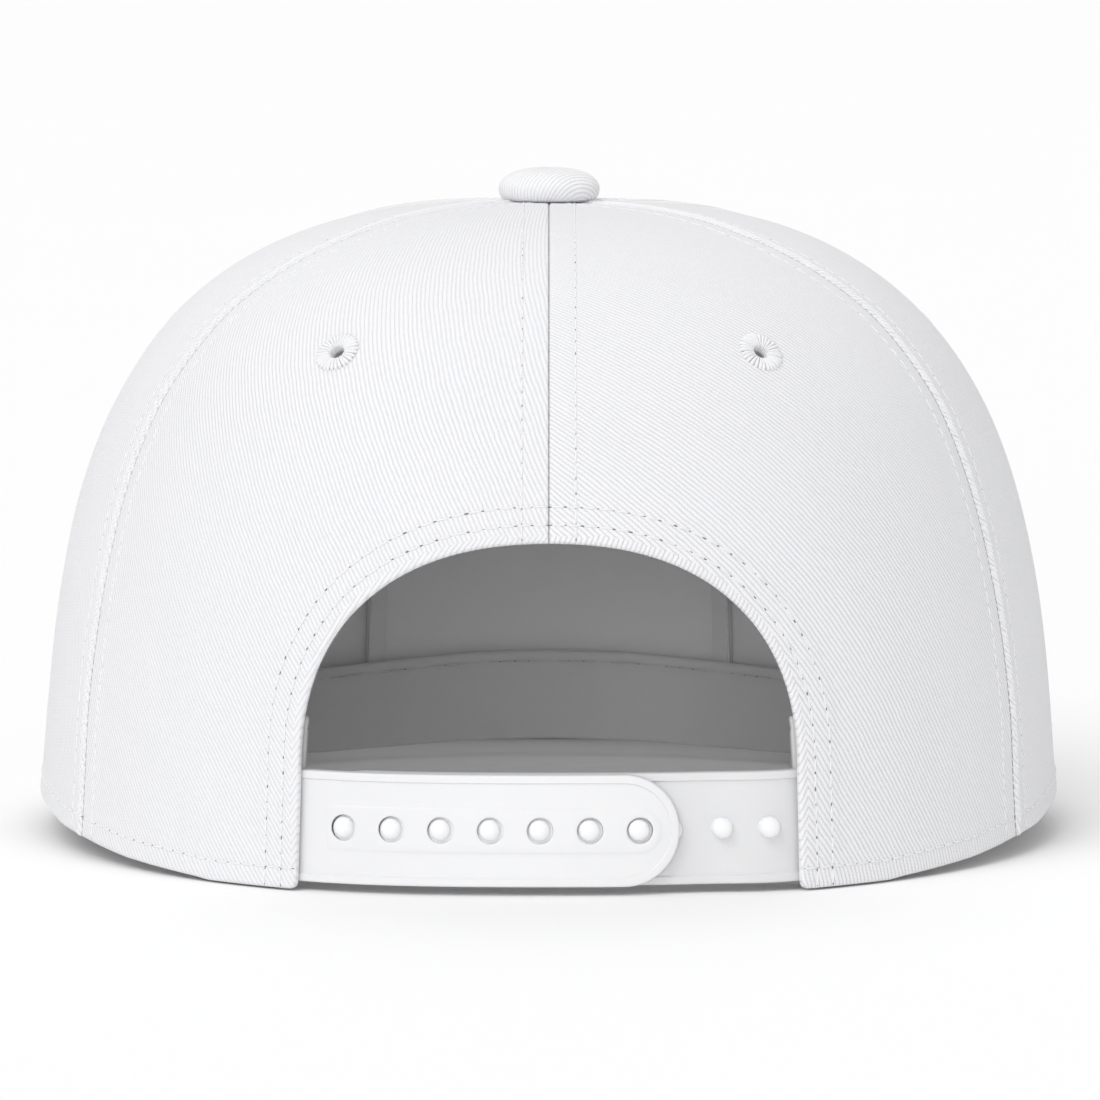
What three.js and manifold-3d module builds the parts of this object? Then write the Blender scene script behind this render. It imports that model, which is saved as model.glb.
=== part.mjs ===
// A snapback cap seen from behind: six crown panels with eyelets and a button, a flat brim, a sweatband, a front
// stiffener with two tapes, and a snap strap in two halves. Millimetres, +Z up, +Y towards the brim, +X to the
// right as seen from behind. The cap stands on z = 0 on the rear hem and the front of the brim. Until the last
// lines, x and y are measured from the crown's axis.
import * as THREE from "three";
import { mergeVertices } from "three/addons/utils/BufferGeometryUtils.js";
import Module from "manifold-3d";

const wasm = await Module();
wasm.setup();

const DEGREE = Math.PI / 180;
const GAP = 0.3; // clearance between neighbouring pieces
const CUT_REACH = 60; // how far a cutting shape runs through the back, well past both faces

// Crown: an ellipse in plan and a rounded, upright profile
const HALF_WIDTH = 92.15; // before the flare, the spread and the bulge are added
const HALF_LENGTH = 97.15;
const CROWN_HEIGHT = 115.7;
const FLARE = 3.3; // how far the hem spreads outwards
const FLARE_FADE = 22; // height over which the flare dies away
const SPREAD = 0.013; // widening per mm of height
const ROUNDNESS = { side: 2.79, rear: 2.64, front: 3.09 }; // exponents of the profile
const PANEL_THICK = 1.4;
const PANEL_BULGE = 1.4; // how far a panel swells between its seams
const BULGE_START = 20;
const BULGE_FULL = 60;
const APEX_HOLE = 2.6; // radius left open for the button's post
const PANEL_COLUMNS = 10;
const PANEL_ROWS = 15;
const ROW_BIAS = 1.25; // above 1, rows crowd towards the hem

// Angles are in degrees round the crown, from 0 at the centre of the back to 180 at the centre of the front.
const FRONT_SIDE_SEAM = 120;
// The rear side seam leans, so that it has its angle against the slope of the profile, 0 at the hem and 90 on top.
const REAR_SIDE_SEAM = [
  { slope: 0, angle: 62.2 },
  { slope: 6.5, angle: 63.3 },
  { slope: 23, angle: 64.8 },
  { slope: 38, angle: 65 },
  { slope: 52, angle: 63.2 },
  { slope: 63, angle: 60 },
  { slope: 71, angle: 57 },
  { slope: 90, angle: 55 },
];
// The hem's height round the crown, as shares of its lift at the side. From the brim's corner on, the hem stands on
// the brim.
const HEM_LIFT = 7.5;
const HEM = [
  { angle: 0, share: 0 },
  { angle: 36.5, share: 0 },
  { angle: 41, share: 0.11 },
  { angle: 52.5, share: 0.27 },
  { angle: 62, share: 0.48 },
  { angle: 69, share: 0.59 },
  { angle: 76, share: 0.8 },
  { angle: 86, share: 0.97 },
  { angle: 100, share: 1 },
];

// Rear opening: straight sides up to the spring line, then a rounded arch
const OPENING = { half: 43.1, foot: 43.6, spring: 20.6, rise: 40, roundness: 2.3 };

const EYELET = { height: 91.2, radius: 4, bore: 1.25, proud: 0.35 };
const EYELET_SEGMENTS = 12;
const BUTTON = { radius: 9.3, bulk: 6, post: 1.8, rivet: 4.2, rivetThick: 1.2 };
const BUTTON_SEGMENTS = 24;

// Bands inside the crown, as depths below its outer face
const STRAP = { thick: 1.5, rim: 0.3, rimWidth: 1.4, bottom: 1.6, top: 20.8 };
const SWEATBAND_THICK = 1.2;
const STIFFENER_THICK = 0.8;
const TAPE_THICK = 0.5;
const STIFFENER = { angle: 156.4, bottom: 8, top: 84 };
const TAPE_WIDTH = 2.2; // degrees
// The sweatband's edges round the crown, as shares of its height at the back
const SWEATBAND_TOP = 29.7;
const SWEATBAND = [
  { angle: 27.7, bottom: 0.05, top: 1 },
  { angle: 36, bottom: 0.06, top: 0.99 },
  { angle: 62, bottom: 0.15, top: 0.91 },
  { angle: 90, bottom: 0.275, top: 0.81 },
  { angle: 125, bottom: 0.2, top: 0.73 },
  { angle: 180, bottom: 0.11, top: 0.695 },
];

// Strap: it follows the crown where it is tucked in and is drawn flatter across the opening. Places along it are
// lengths from its middle.
const DRAWN_IN = 3.5;
const TUCK_END = 54;
const HOLE = { count: 7, first: -36, pitch: 8.62, radius: 2.25 };
const STUD = { radius: 1.85, shank: 1.5, dome: 1.1 };
const FREE_STUDS = { count: 2, shift: 5.66 }; // they stand out of step with the holes
const OUTER_TIP_MARGIN = 6.84; // from the last hole to the tip
const INNER_TIP_MARGIN = 5;
const NUB = { inset: 1.05, radius: 1.75, thick: 0.9 };
const LAP_FROM = 41; // the inner half steps inwards between these two places, to pass behind the outer half
const LAP_TO = 26;
const TIP_STEPS = 12;
const HOLE_SEGMENTS = 14;
const STUD_SEGMENTS = 10;

// Brim: a rounded outline in front of the crown, arched from side to side and falling forward
const BRIM = { half: 88, centre: 80, reach: 90, roundness: 2.3, thick: 3, arch: 2.4, fall: 0.05 };
const BRIM_CORNER = FRONT_SIDE_SEAM - 2; // degrees
const BRIM_TUCK = 2.2; // how far its root passes under the crown's front

// Depths of the bands, each one clearance behind the one before
const SLOT_DEPTH = PANEL_THICK + GAP;
const STRAP_FACE = SLOT_DEPTH + STRAP.rim;
const STRAP_BACK = STRAP_FACE + STRAP.thick;
const LAP = STRAP_BACK - SLOT_DEPTH + GAP;
const SWEATBAND_DEPTH = STRAP_BACK + GAP;
const TAPE_DEPTH = SLOT_DEPTH + STIFFENER_THICK + GAP;

const WHITE_TWILL = new THREE.MeshStandardMaterial({ color: 0xf4f4f5, roughness: 0.9 });
const WHITE_THREAD = new THREE.MeshStandardMaterial({ color: 0xf6f6f7, roughness: 0.8 });
const WHITE_PLASTIC = new THREE.MeshStandardMaterial({ color: 0xf3f3f5, roughness: 0.4 });

// Linear look-up in a table with two named columns
function lookUp(rows, x, key, value) {
  const next = rows.findIndex((row) => row[key] >= x);
  if (next === 0) return rows[0][value];
  if (next < 0) return rows[rows.length - 1][value];
  const [a, b] = [rows[next - 1], rows[next]];
  return THREE.MathUtils.mapLinear(x, a[key], b[key], a[value], b[value]);
}

// The angle from the centre of the back, 0 to 180, on either side
function foldedAngle(phi) {
  return Math.acos(Math.cos(phi)) / DEGREE;
}

function roundnessAt(phi) {
  const c = Math.cos(phi);
  const { side, rear, front } = ROUNDNESS;
  return side + ((rear - front) / 2) * c + ((rear + front) / 2 - side) * c * c;
}

function bulgeAt(z) {
  const high = Math.min(z / CROWN_HEIGHT, 1);
  return PANEL_BULGE * THREE.MathUtils.smoothstep(z, BULGE_START, BULGE_FULL) * (1 - high ** 6);
}

// The crown's surface along its seams, without the swelling of the panels. slope is 0 at the hem and 90 on top.
function seamSurface(phi, slope) {
  const n = roundnessAt(phi);
  const z = CROWN_HEIGHT * Math.sin(slope) ** (2 / n);
  const ring = Math.cos(slope) ** (2 / n);
  const grow = FLARE * Math.exp(-z / FLARE_FADE) + SPREAD * z - bulgeAt(z);
  const x = (HALF_WIDTH + grow) * ring * Math.sin(phi);
  const y = -(HALF_LENGTH + grow) * ring * Math.cos(phi);
  return new THREE.Vector3(x, y, z);
}

function surfaceNormal(phi, slope) {
  const step = 1e-3;
  const along = seamSurface(phi + step, slope).sub(seamSurface(phi - step, slope));
  const up = seamSurface(phi, slope + step).sub(seamSurface(phi, Math.max(slope - step, 0)));
  return along.cross(up).normalize();
}

function slopeAt(phi, z) {
  return Math.asin((z / CROWN_HEIGHT) ** (roundnessAt(phi) / 2));
}

// A place at a given depth below the seam surface, at height z
function atDepth(phi, z, depth) {
  const slope = slopeAt(phi, z);
  const place = seamSurface(phi, slope).addScaledVector(surfaceNormal(phi, slope), -depth);
  place.z = z;
  return place;
}

// A closed solid between two sheets of points. Seen from outside, u runs to the right and v upwards.
function between(columns, rows, outer, inner) {
  const points = [];
  for (const sheet of [outer, inner])
    for (let j = 0; j <= rows; j++)
      for (let i = 0; i <= columns; i++) points.push(...sheet(i / columns, j / rows).toArray());
  const wide = columns + 1;
  const size = wide * (rows + 1);
  const faces = [];
  const quad = (a, b, c, d) => faces.push(a, b, c, a, c, d);
  for (let j = 0; j < rows; j++)
    for (let i = 0; i < columns; i++) {
      const k = j * wide + i;
      quad(k, k + 1, k + wide + 1, k + wide);
      quad(size + k, size + k + wide, size + k + wide + 1, size + k + 1);
    }
  for (let i = 0; i < columns; i++) {
    const top = rows * wide + i;
    quad(i, size + i, size + i + 1, i + 1);
    quad(top, top + 1, size + top + 1, size + top);
  }
  for (let j = 0; j < rows; j++) {
    const left = j * wide;
    const right = left + columns;
    quad(left, left + wide, size + left + wide, size + left);
    quad(right, size + right, size + right + wide, right + wide);
  }
  const geometry = new THREE.BufferGeometry();
  geometry.setAttribute("position", new THREE.Float32BufferAttribute(points, 3));
  geometry.setIndex(faces);
  return geometry;
}

function toSolid(geometry) {
  const bare = new THREE.BufferGeometry();
  bare.setAttribute("position", geometry.getAttribute("position"));
  bare.setIndex(geometry.getIndex());
  const merged = mergeVertices(bare, 1e-4);
  return new wasm.Manifold(
    new wasm.Mesh({
      numProp: 3,
      vertProperties: merged.getAttribute("position").array,
      triVerts: new Uint32Array(merged.getIndex().array),
    }),
  );
}

function toGeometry(solid) {
  const mesh = solid.getMesh();
  const geometry = new THREE.BufferGeometry();
  geometry.setAttribute("position", new THREE.BufferAttribute(mesh.vertProperties, 3));
  geometry.setIndex(new THREE.BufferAttribute(mesh.triVerts, 1));
  return geometry;
}

// Turned from a profile of [radius, height] rows that starts and ends on the axis or closes on itself, then
// stood on a place with its axis along a direction
function turned(profile, segments, place, axis) {
  const points = profile.map(([r, h]) => new THREE.Vector2(r, h));
  const turn = new THREE.Quaternion().setFromUnitVectors(new THREE.Vector3(0, 1, 0), axis);
  const move = new THREE.Matrix4().compose(place, turn, new THREE.Vector3(1, 1, 1));
  return new THREE.LatheGeometry(points, segments).applyMatrix4(move);
}

function rod(radius, from, to, segments, place, axis) {
  const profile = [
    [0, from],
    [radius, from],
    [radius, to],
    [0, to],
  ];
  return turned(profile, segments, place, axis);
}

// A flat outline in x and z, pushed through the back of the cap along y
function throughBack(shape) {
  const geometry = new THREE.ExtrudeGeometry(shape, { depth: CUT_REACH, bevelEnabled: false });
  return geometry.rotateX(Math.PI / 2).translate(0, -CUT_REACH, 0);
}

function brimBottom(x, y) {
  return -BRIM.arch * (x / BRIM.half) ** 2 - BRIM.fall * y;
}

// The brim's outer edge in plan, u from the left corner to the right one
function brimEdge(u) {
  const corner = seamSurface(BRIM_CORNER * DEGREE, 0);
  const back = ((BRIM.centre - corner.y) / BRIM.reach) ** (BRIM.roundness / 2);
  const turn = (2 * u - 1) * (Math.PI / 2 + Math.asin(back));
  const power = 2 / BRIM.roundness;
  const x = BRIM.half * Math.sign(turn) * Math.abs(Math.sin(turn)) ** power;
  const y = BRIM.centre + BRIM.reach * Math.sign(Math.cos(turn)) * Math.abs(Math.cos(turn)) ** power;
  return new THREE.Vector2(x, y);
}

const BRIM_COLUMNS = 28;
const BRIM_ROWS = 5;

// Lifts the brim so that its lowest point stands on z = 0
const BRIM_LIFT = -Math.min(
  ...Array.from({ length: BRIM_COLUMNS + 1 }, (_, i) => brimEdge(i / BRIM_COLUMNS)).map((p) => brimBottom(p.x, p.y)),
);

function brimTop(x, y) {
  return BRIM_LIFT + brimBottom(x, y) + BRIM.thick;
}

function hemHeight(phi) {
  const angle = foldedAngle(phi);
  const onBrim = (turn) => {
    const wall = seamSurface(turn, 0);
    return brimTop(wall.x, wall.y) + GAP;
  };
  if (angle >= BRIM_CORNER) return onBrim(phi);
  const corner = { angle: BRIM_CORNER, share: onBrim(BRIM_CORNER * DEGREE) / HEM_LIFT };
  return HEM_LIFT * lookUp([...HEM, corner], angle, "angle", "share");
}

function rearSideSeam(share) {
  return lookUp(REAR_SIDE_SEAM, share * 90, "slope", "angle") * DEGREE;
}

// from and to are the seams' angles against the share of the way up the panel
const PANELS = [
  { place: "rear_right", from: () => 0, to: rearSideSeam },
  { place: "side_right", from: rearSideSeam, to: () => FRONT_SIDE_SEAM * DEGREE },
  { place: "front_right", from: () => FRONT_SIDE_SEAM * DEGREE, to: () => Math.PI },
  { place: "front_left", from: () => -Math.PI, to: () => -FRONT_SIDE_SEAM * DEGREE },
  { place: "side_left", from: () => -FRONT_SIDE_SEAM * DEGREE, to: (share) => -rearSideSeam(share) },
  { place: "rear_left", from: (share) => -rearSideSeam(share), to: () => 0 },
];

// A place on a panel: u across it, v up it, at a depth below its outer face
function onPanel(panel, u, v, depth) {
  const share = v ** ROW_BIAS;
  const [from, to] = [panel.from(share), panel.to(share)];
  const seamAngle = THREE.MathUtils.lerp(from, to, u);
  const low = slopeAt(seamAngle, hemHeight(seamAngle));
  const high = Math.acos((APEX_HOLE / HALF_WIDTH) ** (roundnessAt(seamAngle) / 2));
  const slope = THREE.MathUtils.lerp(low, high, share);
  const wall = seamSurface(seamAngle, slope);
  const trim = GAP / 2 / Math.hypot(wall.x, wall.y);
  const phi = THREE.MathUtils.lerp(from + trim, to - trim, u);
  const swell = bulgeAt(wall.z) * Math.sin(Math.PI * u) ** 0.8;
  const place = seamSurface(phi, slope).addScaledVector(surfaceNormal(phi, slope), swell - depth);
  if (v === 0) place.z = hemHeight(phi);
  return place;
}

// The middle of a panel's outer face at the eyelets' height, and the direction out of it
function eyeletSpot(panel) {
  const phi = (panel.from(0.5) + panel.to(0.5)) / 2;
  const slope = slopeAt(phi, EYELET.height);
  const out = surfaceNormal(phi, slope);
  return { place: seamSurface(phi, slope).addScaledVector(out, bulgeAt(EYELET.height)), out };
}

function openingShape() {
  const { half, foot, spring, rise, roundness } = OPENING;
  const shape = new THREE.Shape();
  shape.moveTo(-foot, -PANEL_THICK);
  shape.lineTo(foot, -PANEL_THICK);
  const steps = 24;
  for (let i = 0; i <= steps; i++) {
    const turn = (Math.PI * i) / steps;
    const c = Math.cos(turn);
    const x = half * Math.sign(c) * Math.abs(c) ** (2 / roundness);
    shape.lineTo(x, spring + rise * Math.abs(Math.sin(turn)) ** (2 / roundness));
  }
  shape.closePath();
  return shape;
}

function crownPanel(panel) {
  const outer = (u, v) => onPanel(panel, u, v, 0);
  const inner = (u, v) => onPanel(panel, u, v, PANEL_THICK);
  const { place, out } = eyeletSpot(panel);
  const bore = rod(EYELET.radius + GAP, -3 * PANEL_THICK, 3 * PANEL_THICK, EYELET_SEGMENTS, place, out);
  let solid = toSolid(between(PANEL_COLUMNS, PANEL_ROWS, outer, inner)).subtract(toSolid(bore));
  if (panel.place.startsWith("rear")) solid = solid.subtract(toSolid(throughBack(openingShape())));
  return toGeometry(solid);
}

function eyelet(panel) {
  const { place, out } = eyeletSpot(panel);
  const { radius, bore, proud } = EYELET;
  const [low, high] = [-PANEL_THICK - proud, proud];
  const bevel = proud;
  const profile = [
    [bore, low + bevel],
    [bore + bevel, low],
    [radius - bevel, low],
    [radius, low + bevel],
    [radius, high - bevel],
    [radius - bevel, high],
    [bore + bevel, high],
    [bore, high - bevel],
    [bore, low + bevel],
  ];
  return turned(profile, EYELET_SEGMENTS, place, out);
}

function button() {
  const { radius, bulk, post, rivet, rivetThick } = BUTTON;
  const inside = -PANEL_THICK - 2 * GAP; // heights are measured from the button's seat
  const profile = [
    [0, inside - rivetThick],
    [rivet, inside - rivetThick],
    [rivet, inside],
    [post, inside],
    [post, 0],
    [radius * 0.9, 0],
    [radius, bulk * 0.2],
    [radius, bulk * 0.36],
    [radius * 0.95, bulk * 0.6],
    [radius * 0.8, bulk * 0.82],
    [radius * 0.5, bulk * 0.96],
    [0, bulk],
  ];
  const seat = new THREE.Vector3(0, 0, CROWN_HEIGHT + GAP);
  return turned(profile, BUTTON_SEGMENTS, seat, new THREE.Vector3(0, 0, 1));
}

function sweatband() {
  const start = SWEATBAND[0].angle;
  const sheet = (depth) => (u, v) => {
    const phi = THREE.MathUtils.lerp(start, 360 - start, u) * DEGREE;
    const [bottom, top] = ["bottom", "top"].map((edge) => lookUp(SWEATBAND, foldedAngle(phi), "angle", edge));
    return atDepth(phi, SWEATBAND_TOP * THREE.MathUtils.lerp(bottom, top, v), depth);
  };
  return between(44, 2, sheet(SWEATBAND_DEPTH), sheet(SWEATBAND_DEPTH + SWEATBAND_THICK));
}

// A patch inside the front, between two angles, from the stiffener's bottom up to its top
function frontPatch(from, to, columns, depth, thick) {
  const sheet = (deep) => (u, v) => {
    const phi = THREE.MathUtils.lerp(from, to, u) * DEGREE;
    const [low, high] = [STIFFENER.bottom, STIFFENER.top].map((z) => slopeAt(phi, z));
    const slope = THREE.MathUtils.lerp(low, high, v);
    const place = seamSurface(phi, slope).addScaledVector(surfaceNormal(phi, slope), -deep);
    if (v === 0) place.z = STIFFENER.bottom;
    return place;
  };
  return between(columns, 8, sheet(depth), sheet(depth + thick));
}

// The strap's shape in plan as a place on it: x across the back, z up, and the depth below the crown's outer face
function strapPlace(x, z, depth, inner) {
  const width = seamSurface(Math.PI / 2, slopeAt(Math.PI / 2, z)).x - depth;
  const place = atDepth(Math.asin(x / width), z, depth);
  const across = Math.min(Math.abs(x) / OPENING.half, 1);
  place.y += DRAWN_IN * (1 - across ** 2) ** 2;
  if (inner) place.y += LAP * (1 - THREE.MathUtils.smoothstep(x, LAP_TO, LAP_FROM));
  return place;
}

// Where a length measured along the strap from its middle lies across the back
function acrossAt(length) {
  const z = (STRAP.bottom + STRAP.top) / 2;
  const step = Math.sign(length) * 0.25;
  let [x, left] = [0, Math.abs(length)];
  while (left > 0) {
    const run = strapPlace(x + step, z, STRAP_FACE, false).distanceTo(strapPlace(x, z, STRAP_FACE, false));
    x += step * Math.min(left / run, 1);
    left -= run;
  }
  return x;
}

// Outline of one half from its hidden end to its round tip, drawn in by an inset, anticlockwise
function strapOutline(hiddenEnd, tip, inset) {
  const middle = (STRAP.bottom + STRAP.top) / 2;
  const radius = (STRAP.top - STRAP.bottom) / 2 - inset;
  const towards = Math.sign(tip - hiddenEnd);
  const centre = tip - towards * (inset + radius);
  const shape = new THREE.Shape();
  shape.moveTo(hiddenEnd + towards * inset, middle - towards * radius);
  for (let i = 0; i <= TIP_STEPS; i++) {
    const turn = Math.PI * (i / TIP_STEPS - 0.5);
    shape.lineTo(centre + towards * radius * Math.cos(turn), middle + towards * radius * Math.sin(turn));
  }
  shape.lineTo(hiddenEnd + towards * inset, middle + towards * radius);
  shape.closePath();
  return shape;
}

function strapSlab(face, inner) {
  const reach = TUCK_END + STRAP.rimWidth;
  const sheet = (depth) => (u, v) =>
    strapPlace(
      THREE.MathUtils.lerp(-reach, reach, u),
      THREE.MathUtils.lerp(STRAP.bottom - STRAP.rim, STRAP.top + STRAP.rim, v),
      depth,
      inner,
    );
  return toSolid(between(22, 1, sheet(face), sheet(STRAP_BACK)));
}

function strapBody(hiddenEnd, tip, inner) {
  const outline = strapOutline(hiddenEnd, tip, 0);
  const body = strapSlab(STRAP_FACE, inner).intersect(toSolid(throughBack(outline)));
  outline.holes.push(strapOutline(hiddenEnd, tip, STRAP.rimWidth));
  const rim = strapSlab(SLOT_DEPTH, inner).intersect(toSolid(throughBack(outline)));
  return body.add(rim);
}

// A place on a strap's face half way up, and the direction straight out of it
function strapSpot(x, inner) {
  const z = (STRAP.bottom + STRAP.top) / 2;
  const place = strapPlace(x, z, STRAP_FACE, inner);
  const along = strapPlace(x + 0.5, z, STRAP_FACE, false).sub(strapPlace(x - 0.5, z, STRAP_FACE, false));
  const up = strapPlace(x, z + 0.5, STRAP_FACE, false).sub(strapPlace(x, z - 0.5, STRAP_FACE, false));
  return { place, out: along.cross(up).normalize() };
}

function holeLength(k) {
  return HOLE.first + k * HOLE.pitch;
}

// Seen from the outer half, because the studs stand up through its holes
function holeSpots() {
  return Array.from({ length: HOLE.count }, (_, k) => strapSpot(acrossAt(holeLength(k)), false));
}

function outerStrap() {
  const tip = acrossAt(holeLength(HOLE.count - 1)) + OUTER_TIP_MARGIN;
  let solid = strapBody(-TUCK_END, tip, false);
  const nub = strapSpot(tip - NUB.inset, false);
  solid = solid.add(toSolid(rod(NUB.radius, -STRAP.thick, NUB.thick - STRAP.thick, HOLE_SEGMENTS, nub.place, nub.out)));
  for (const { place, out } of holeSpots()) {
    const bore = rod(HOLE.radius, -2 * STRAP.thick, 2 * STRAP.thick, HOLE_SEGMENTS, place, out);
    solid = solid.subtract(toSolid(bore));
  }
  return toGeometry(solid);
}

function stud({ place, out }) {
  const { radius, shank, dome } = STUD;
  const profile = [
    [0, -STRAP.thick / 2],
    [radius, -STRAP.thick / 2],
    [radius, shank],
    [radius * 0.87, shank + dome * 0.5],
    [radius * 0.5, shank + dome * 0.87],
    [0, shank + dome],
  ];
  return toSolid(turned(profile, STUD_SEGMENTS, place, out));
}

function innerStrap() {
  let solid = strapBody(TUCK_END, acrossAt(HOLE.first) - INNER_TIP_MARGIN, true);
  for (const { place, out } of holeSpots())
    solid = solid.add(stud({ place: place.addScaledVector(out, -LAP), out }));
  for (let k = 0; k < FREE_STUDS.count; k++) {
    const length = holeLength(HOLE.count + k) + FREE_STUDS.shift;
    solid = solid.add(stud(strapSpot(acrossAt(length), true)));
  }
  return toGeometry(solid);
}

function brim() {
  const root = (u) => {
    const phi = THREE.MathUtils.lerp(-BRIM_CORNER, BRIM_CORNER - 360, u) * DEGREE;
    return atDepth(phi, BRIM.thick, BRIM_TUCK);
  };
  const sheet = (height) => (u, v) => {
    const [near, far] = [root(u), brimEdge(u)];
    const x = THREE.MathUtils.lerp(near.x, far.x, v);
    const y = THREE.MathUtils.lerp(near.y, far.y, v);
    return new THREE.Vector3(x, y, BRIM_LIFT + brimBottom(x, y) + height);
  };
  return between(BRIM_COLUMNS, BRIM_ROWS, sheet(BRIM.thick), sheet(0));
}

const group = new THREE.Group();

function add(name, geometry, material) {
  const mesh = new THREE.Mesh(geometry, material);
  mesh.name = name;
  group.add(mesh);
}

for (const panel of PANELS) {
  add("panel_" + panel.place, crownPanel(panel), WHITE_TWILL);
  add("eyelet_" + panel.place, eyelet(panel), WHITE_THREAD);
}
add("button", button(), WHITE_TWILL);
add("brim", brim(), WHITE_TWILL);
add("sweatband", sweatband(), WHITE_TWILL);
const tapeEdges = [
  { side: "right", from: STIFFENER.angle },
  { side: "left", from: 360 - STIFFENER.angle - TAPE_WIDTH },
];
add(
  "front_stiffener",
  frontPatch(STIFFENER.angle, 360 - STIFFENER.angle, 8, SLOT_DEPTH, STIFFENER_THICK),
  WHITE_TWILL,
);
for (const { side, from } of tapeEdges)
  add("stiffener_tape_" + side, frontPatch(from, from + TAPE_WIDTH, 1, TAPE_DEPTH, TAPE_THICK), WHITE_TWILL);
add("strap_left", outerStrap(), WHITE_PLASTIC);
add("strap_right", innerStrap(), WHITE_PLASTIC);

// The origin is under the middle of the cap's box.
const box = new THREE.Box3().setFromObject(group);
const middle = box.getCenter(new THREE.Vector3());
for (const mesh of group.children) mesh.geometry.translate(-middle.x, -middle.y, -box.min.z);

export default group;
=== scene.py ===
"""The looks of a white snapback cap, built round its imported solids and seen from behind.

Lengths are millimetres measured from the crown's axis, as in the part's source, until a mesh is made.
"""
import math

import bpy
import numpy as np
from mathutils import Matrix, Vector
from mathutils.geometry import delaunay_2d_cdt


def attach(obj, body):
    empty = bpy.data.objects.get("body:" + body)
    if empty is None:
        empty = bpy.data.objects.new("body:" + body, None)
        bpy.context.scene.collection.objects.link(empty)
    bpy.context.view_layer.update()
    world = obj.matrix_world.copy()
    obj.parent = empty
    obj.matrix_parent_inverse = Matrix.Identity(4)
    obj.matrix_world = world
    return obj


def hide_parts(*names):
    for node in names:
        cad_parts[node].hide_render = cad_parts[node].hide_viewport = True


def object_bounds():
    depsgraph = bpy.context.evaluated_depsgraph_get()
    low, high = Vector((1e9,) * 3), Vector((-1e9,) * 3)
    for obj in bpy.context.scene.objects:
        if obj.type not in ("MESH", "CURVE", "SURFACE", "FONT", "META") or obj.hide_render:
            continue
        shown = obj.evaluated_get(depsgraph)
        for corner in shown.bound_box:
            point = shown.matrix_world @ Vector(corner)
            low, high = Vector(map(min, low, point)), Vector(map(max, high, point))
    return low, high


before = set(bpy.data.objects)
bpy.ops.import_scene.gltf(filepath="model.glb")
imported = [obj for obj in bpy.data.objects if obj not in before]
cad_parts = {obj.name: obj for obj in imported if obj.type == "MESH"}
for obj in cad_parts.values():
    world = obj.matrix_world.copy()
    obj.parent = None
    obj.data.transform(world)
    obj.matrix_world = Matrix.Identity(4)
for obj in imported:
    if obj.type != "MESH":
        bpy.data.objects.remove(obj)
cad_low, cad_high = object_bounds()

DEGREE = math.pi / 180
MM = 0.001
RANDOM = np.random.default_rng(7)

# The crown, with the source's own values
HALF_WIDTH = 92.15
HALF_LENGTH = 97.15
CROWN_HEIGHT = 115.7
FLARE = 3.3
FLARE_FADE = 22
SPREAD = 0.013
ROUNDNESS = {"side": 2.79, "rear": 2.64, "front": 3.09}
PANEL_THICK = 1.4
PANEL_BULGE = 1.4
BULGE_START = 20
BULGE_FULL = 60
APEX_HOLE = 2.6
GAP = 0.3
FRONT_SIDE_SEAM = 120
REAR_SIDE_SEAM = {
    "slope": [0, 6.5, 23, 38, 52, 63, 71, 90],
    "angle": [62.2, 63.3, 64.8, 65, 63.2, 60, 57, 55],
}
HEM_LIFT = 7.5
HEM = {
    "angle": [0, 36.5, 41, 52.5, 62, 69, 76, 86, 100],
    "share": [0, 0, 0.11, 0.27, 0.48, 0.59, 0.8, 0.97, 1],
}
OPENING = {"half": 43.1, "foot": 43.6, "spring": 20.6, "rise": 40, "roundness": 2.3}
EYELET = {"height": 91.2, "radius": 4, "bore": 1.25}
BUTTON = {"radius": 9.3, "bulk": 6, "post": 1.8, "rivet": 4.2, "rivet_thick": 1.2}
BUTTON_WAIST = 0.36
BUTTON_FOOT = {"share": 0.8, "sunk": 0.22}
STRAP = {"thick": 1.5, "rim": 0.3, "rim_width": 1.4, "bottom": 1.6, "top": 20.8}
SWEATBAND_THICK = 1.2
STIFFENER_THICK = 0.8
TAPE_THICK = 0.5
STIFFENER = {"angle": 156.4, "bottom": 8, "top": 84}
TAPE_WIDTH = 2.2
TAPE_ROW = 0.3
SWEATBAND_TOP = 29.7
SWEATBAND = {
    "angle": [27.7, 36, 62, 90, 125, 140, 150, 160, 170, 180],
    "bottom": [0.05, 0.06, 0.15, 0.275, 0.17, 0.09, 0.075, 0.085, 0.11, 0.12],
    "top": [1, 0.99, 0.91, 0.81, 0.69, 0.65, 0.65, 0.68, 0.714, 0.725],
}
BAND_SHORT = 0.9
BAND_ROW = 2.1
DRAWN_IN = 3.5
TUCK_END = 54
HOLE = {"count": 7, "first": -36, "pitch": 8.62, "radius": 2.25}
STUD = {"radius": 1.85, "shank": 1.5, "dome": 1.1}
FREE_STUDS = {"count": 2, "shift": 5.66}
OUTER_TIP_MARGIN = 6.84
INNER_TIP_MARGIN = 5
NUB = {"inset": 1.05, "radius": 1.75, "thick": 0.9}
LAP_FROM = 41
LAP_TO = 26
BRIM = {"half": 88, "centre": 80, "reach": 90, "roundness": 2.3, "thick": 3, "arch": 2.4, "fall": 0.05}
BRIM_CORNER = FRONT_SIDE_SEAM - 2
BRIM_TUCK = 2.2
SLOT_DEPTH = PANEL_THICK + GAP
STRAP_FACE = SLOT_DEPTH + STRAP["rim"]
STRAP_BACK = STRAP_FACE + STRAP["thick"]
LAP = STRAP_BACK - SLOT_DEPTH + GAP
SWEATBAND_DEPTH = STRAP_BACK + GAP
TAPE_DEPTH = SLOT_DEPTH + STIFFENER_THICK + GAP
AXIS_Y = cad_high.y / MM - BRIM["centre"] - BRIM["reach"]

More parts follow.
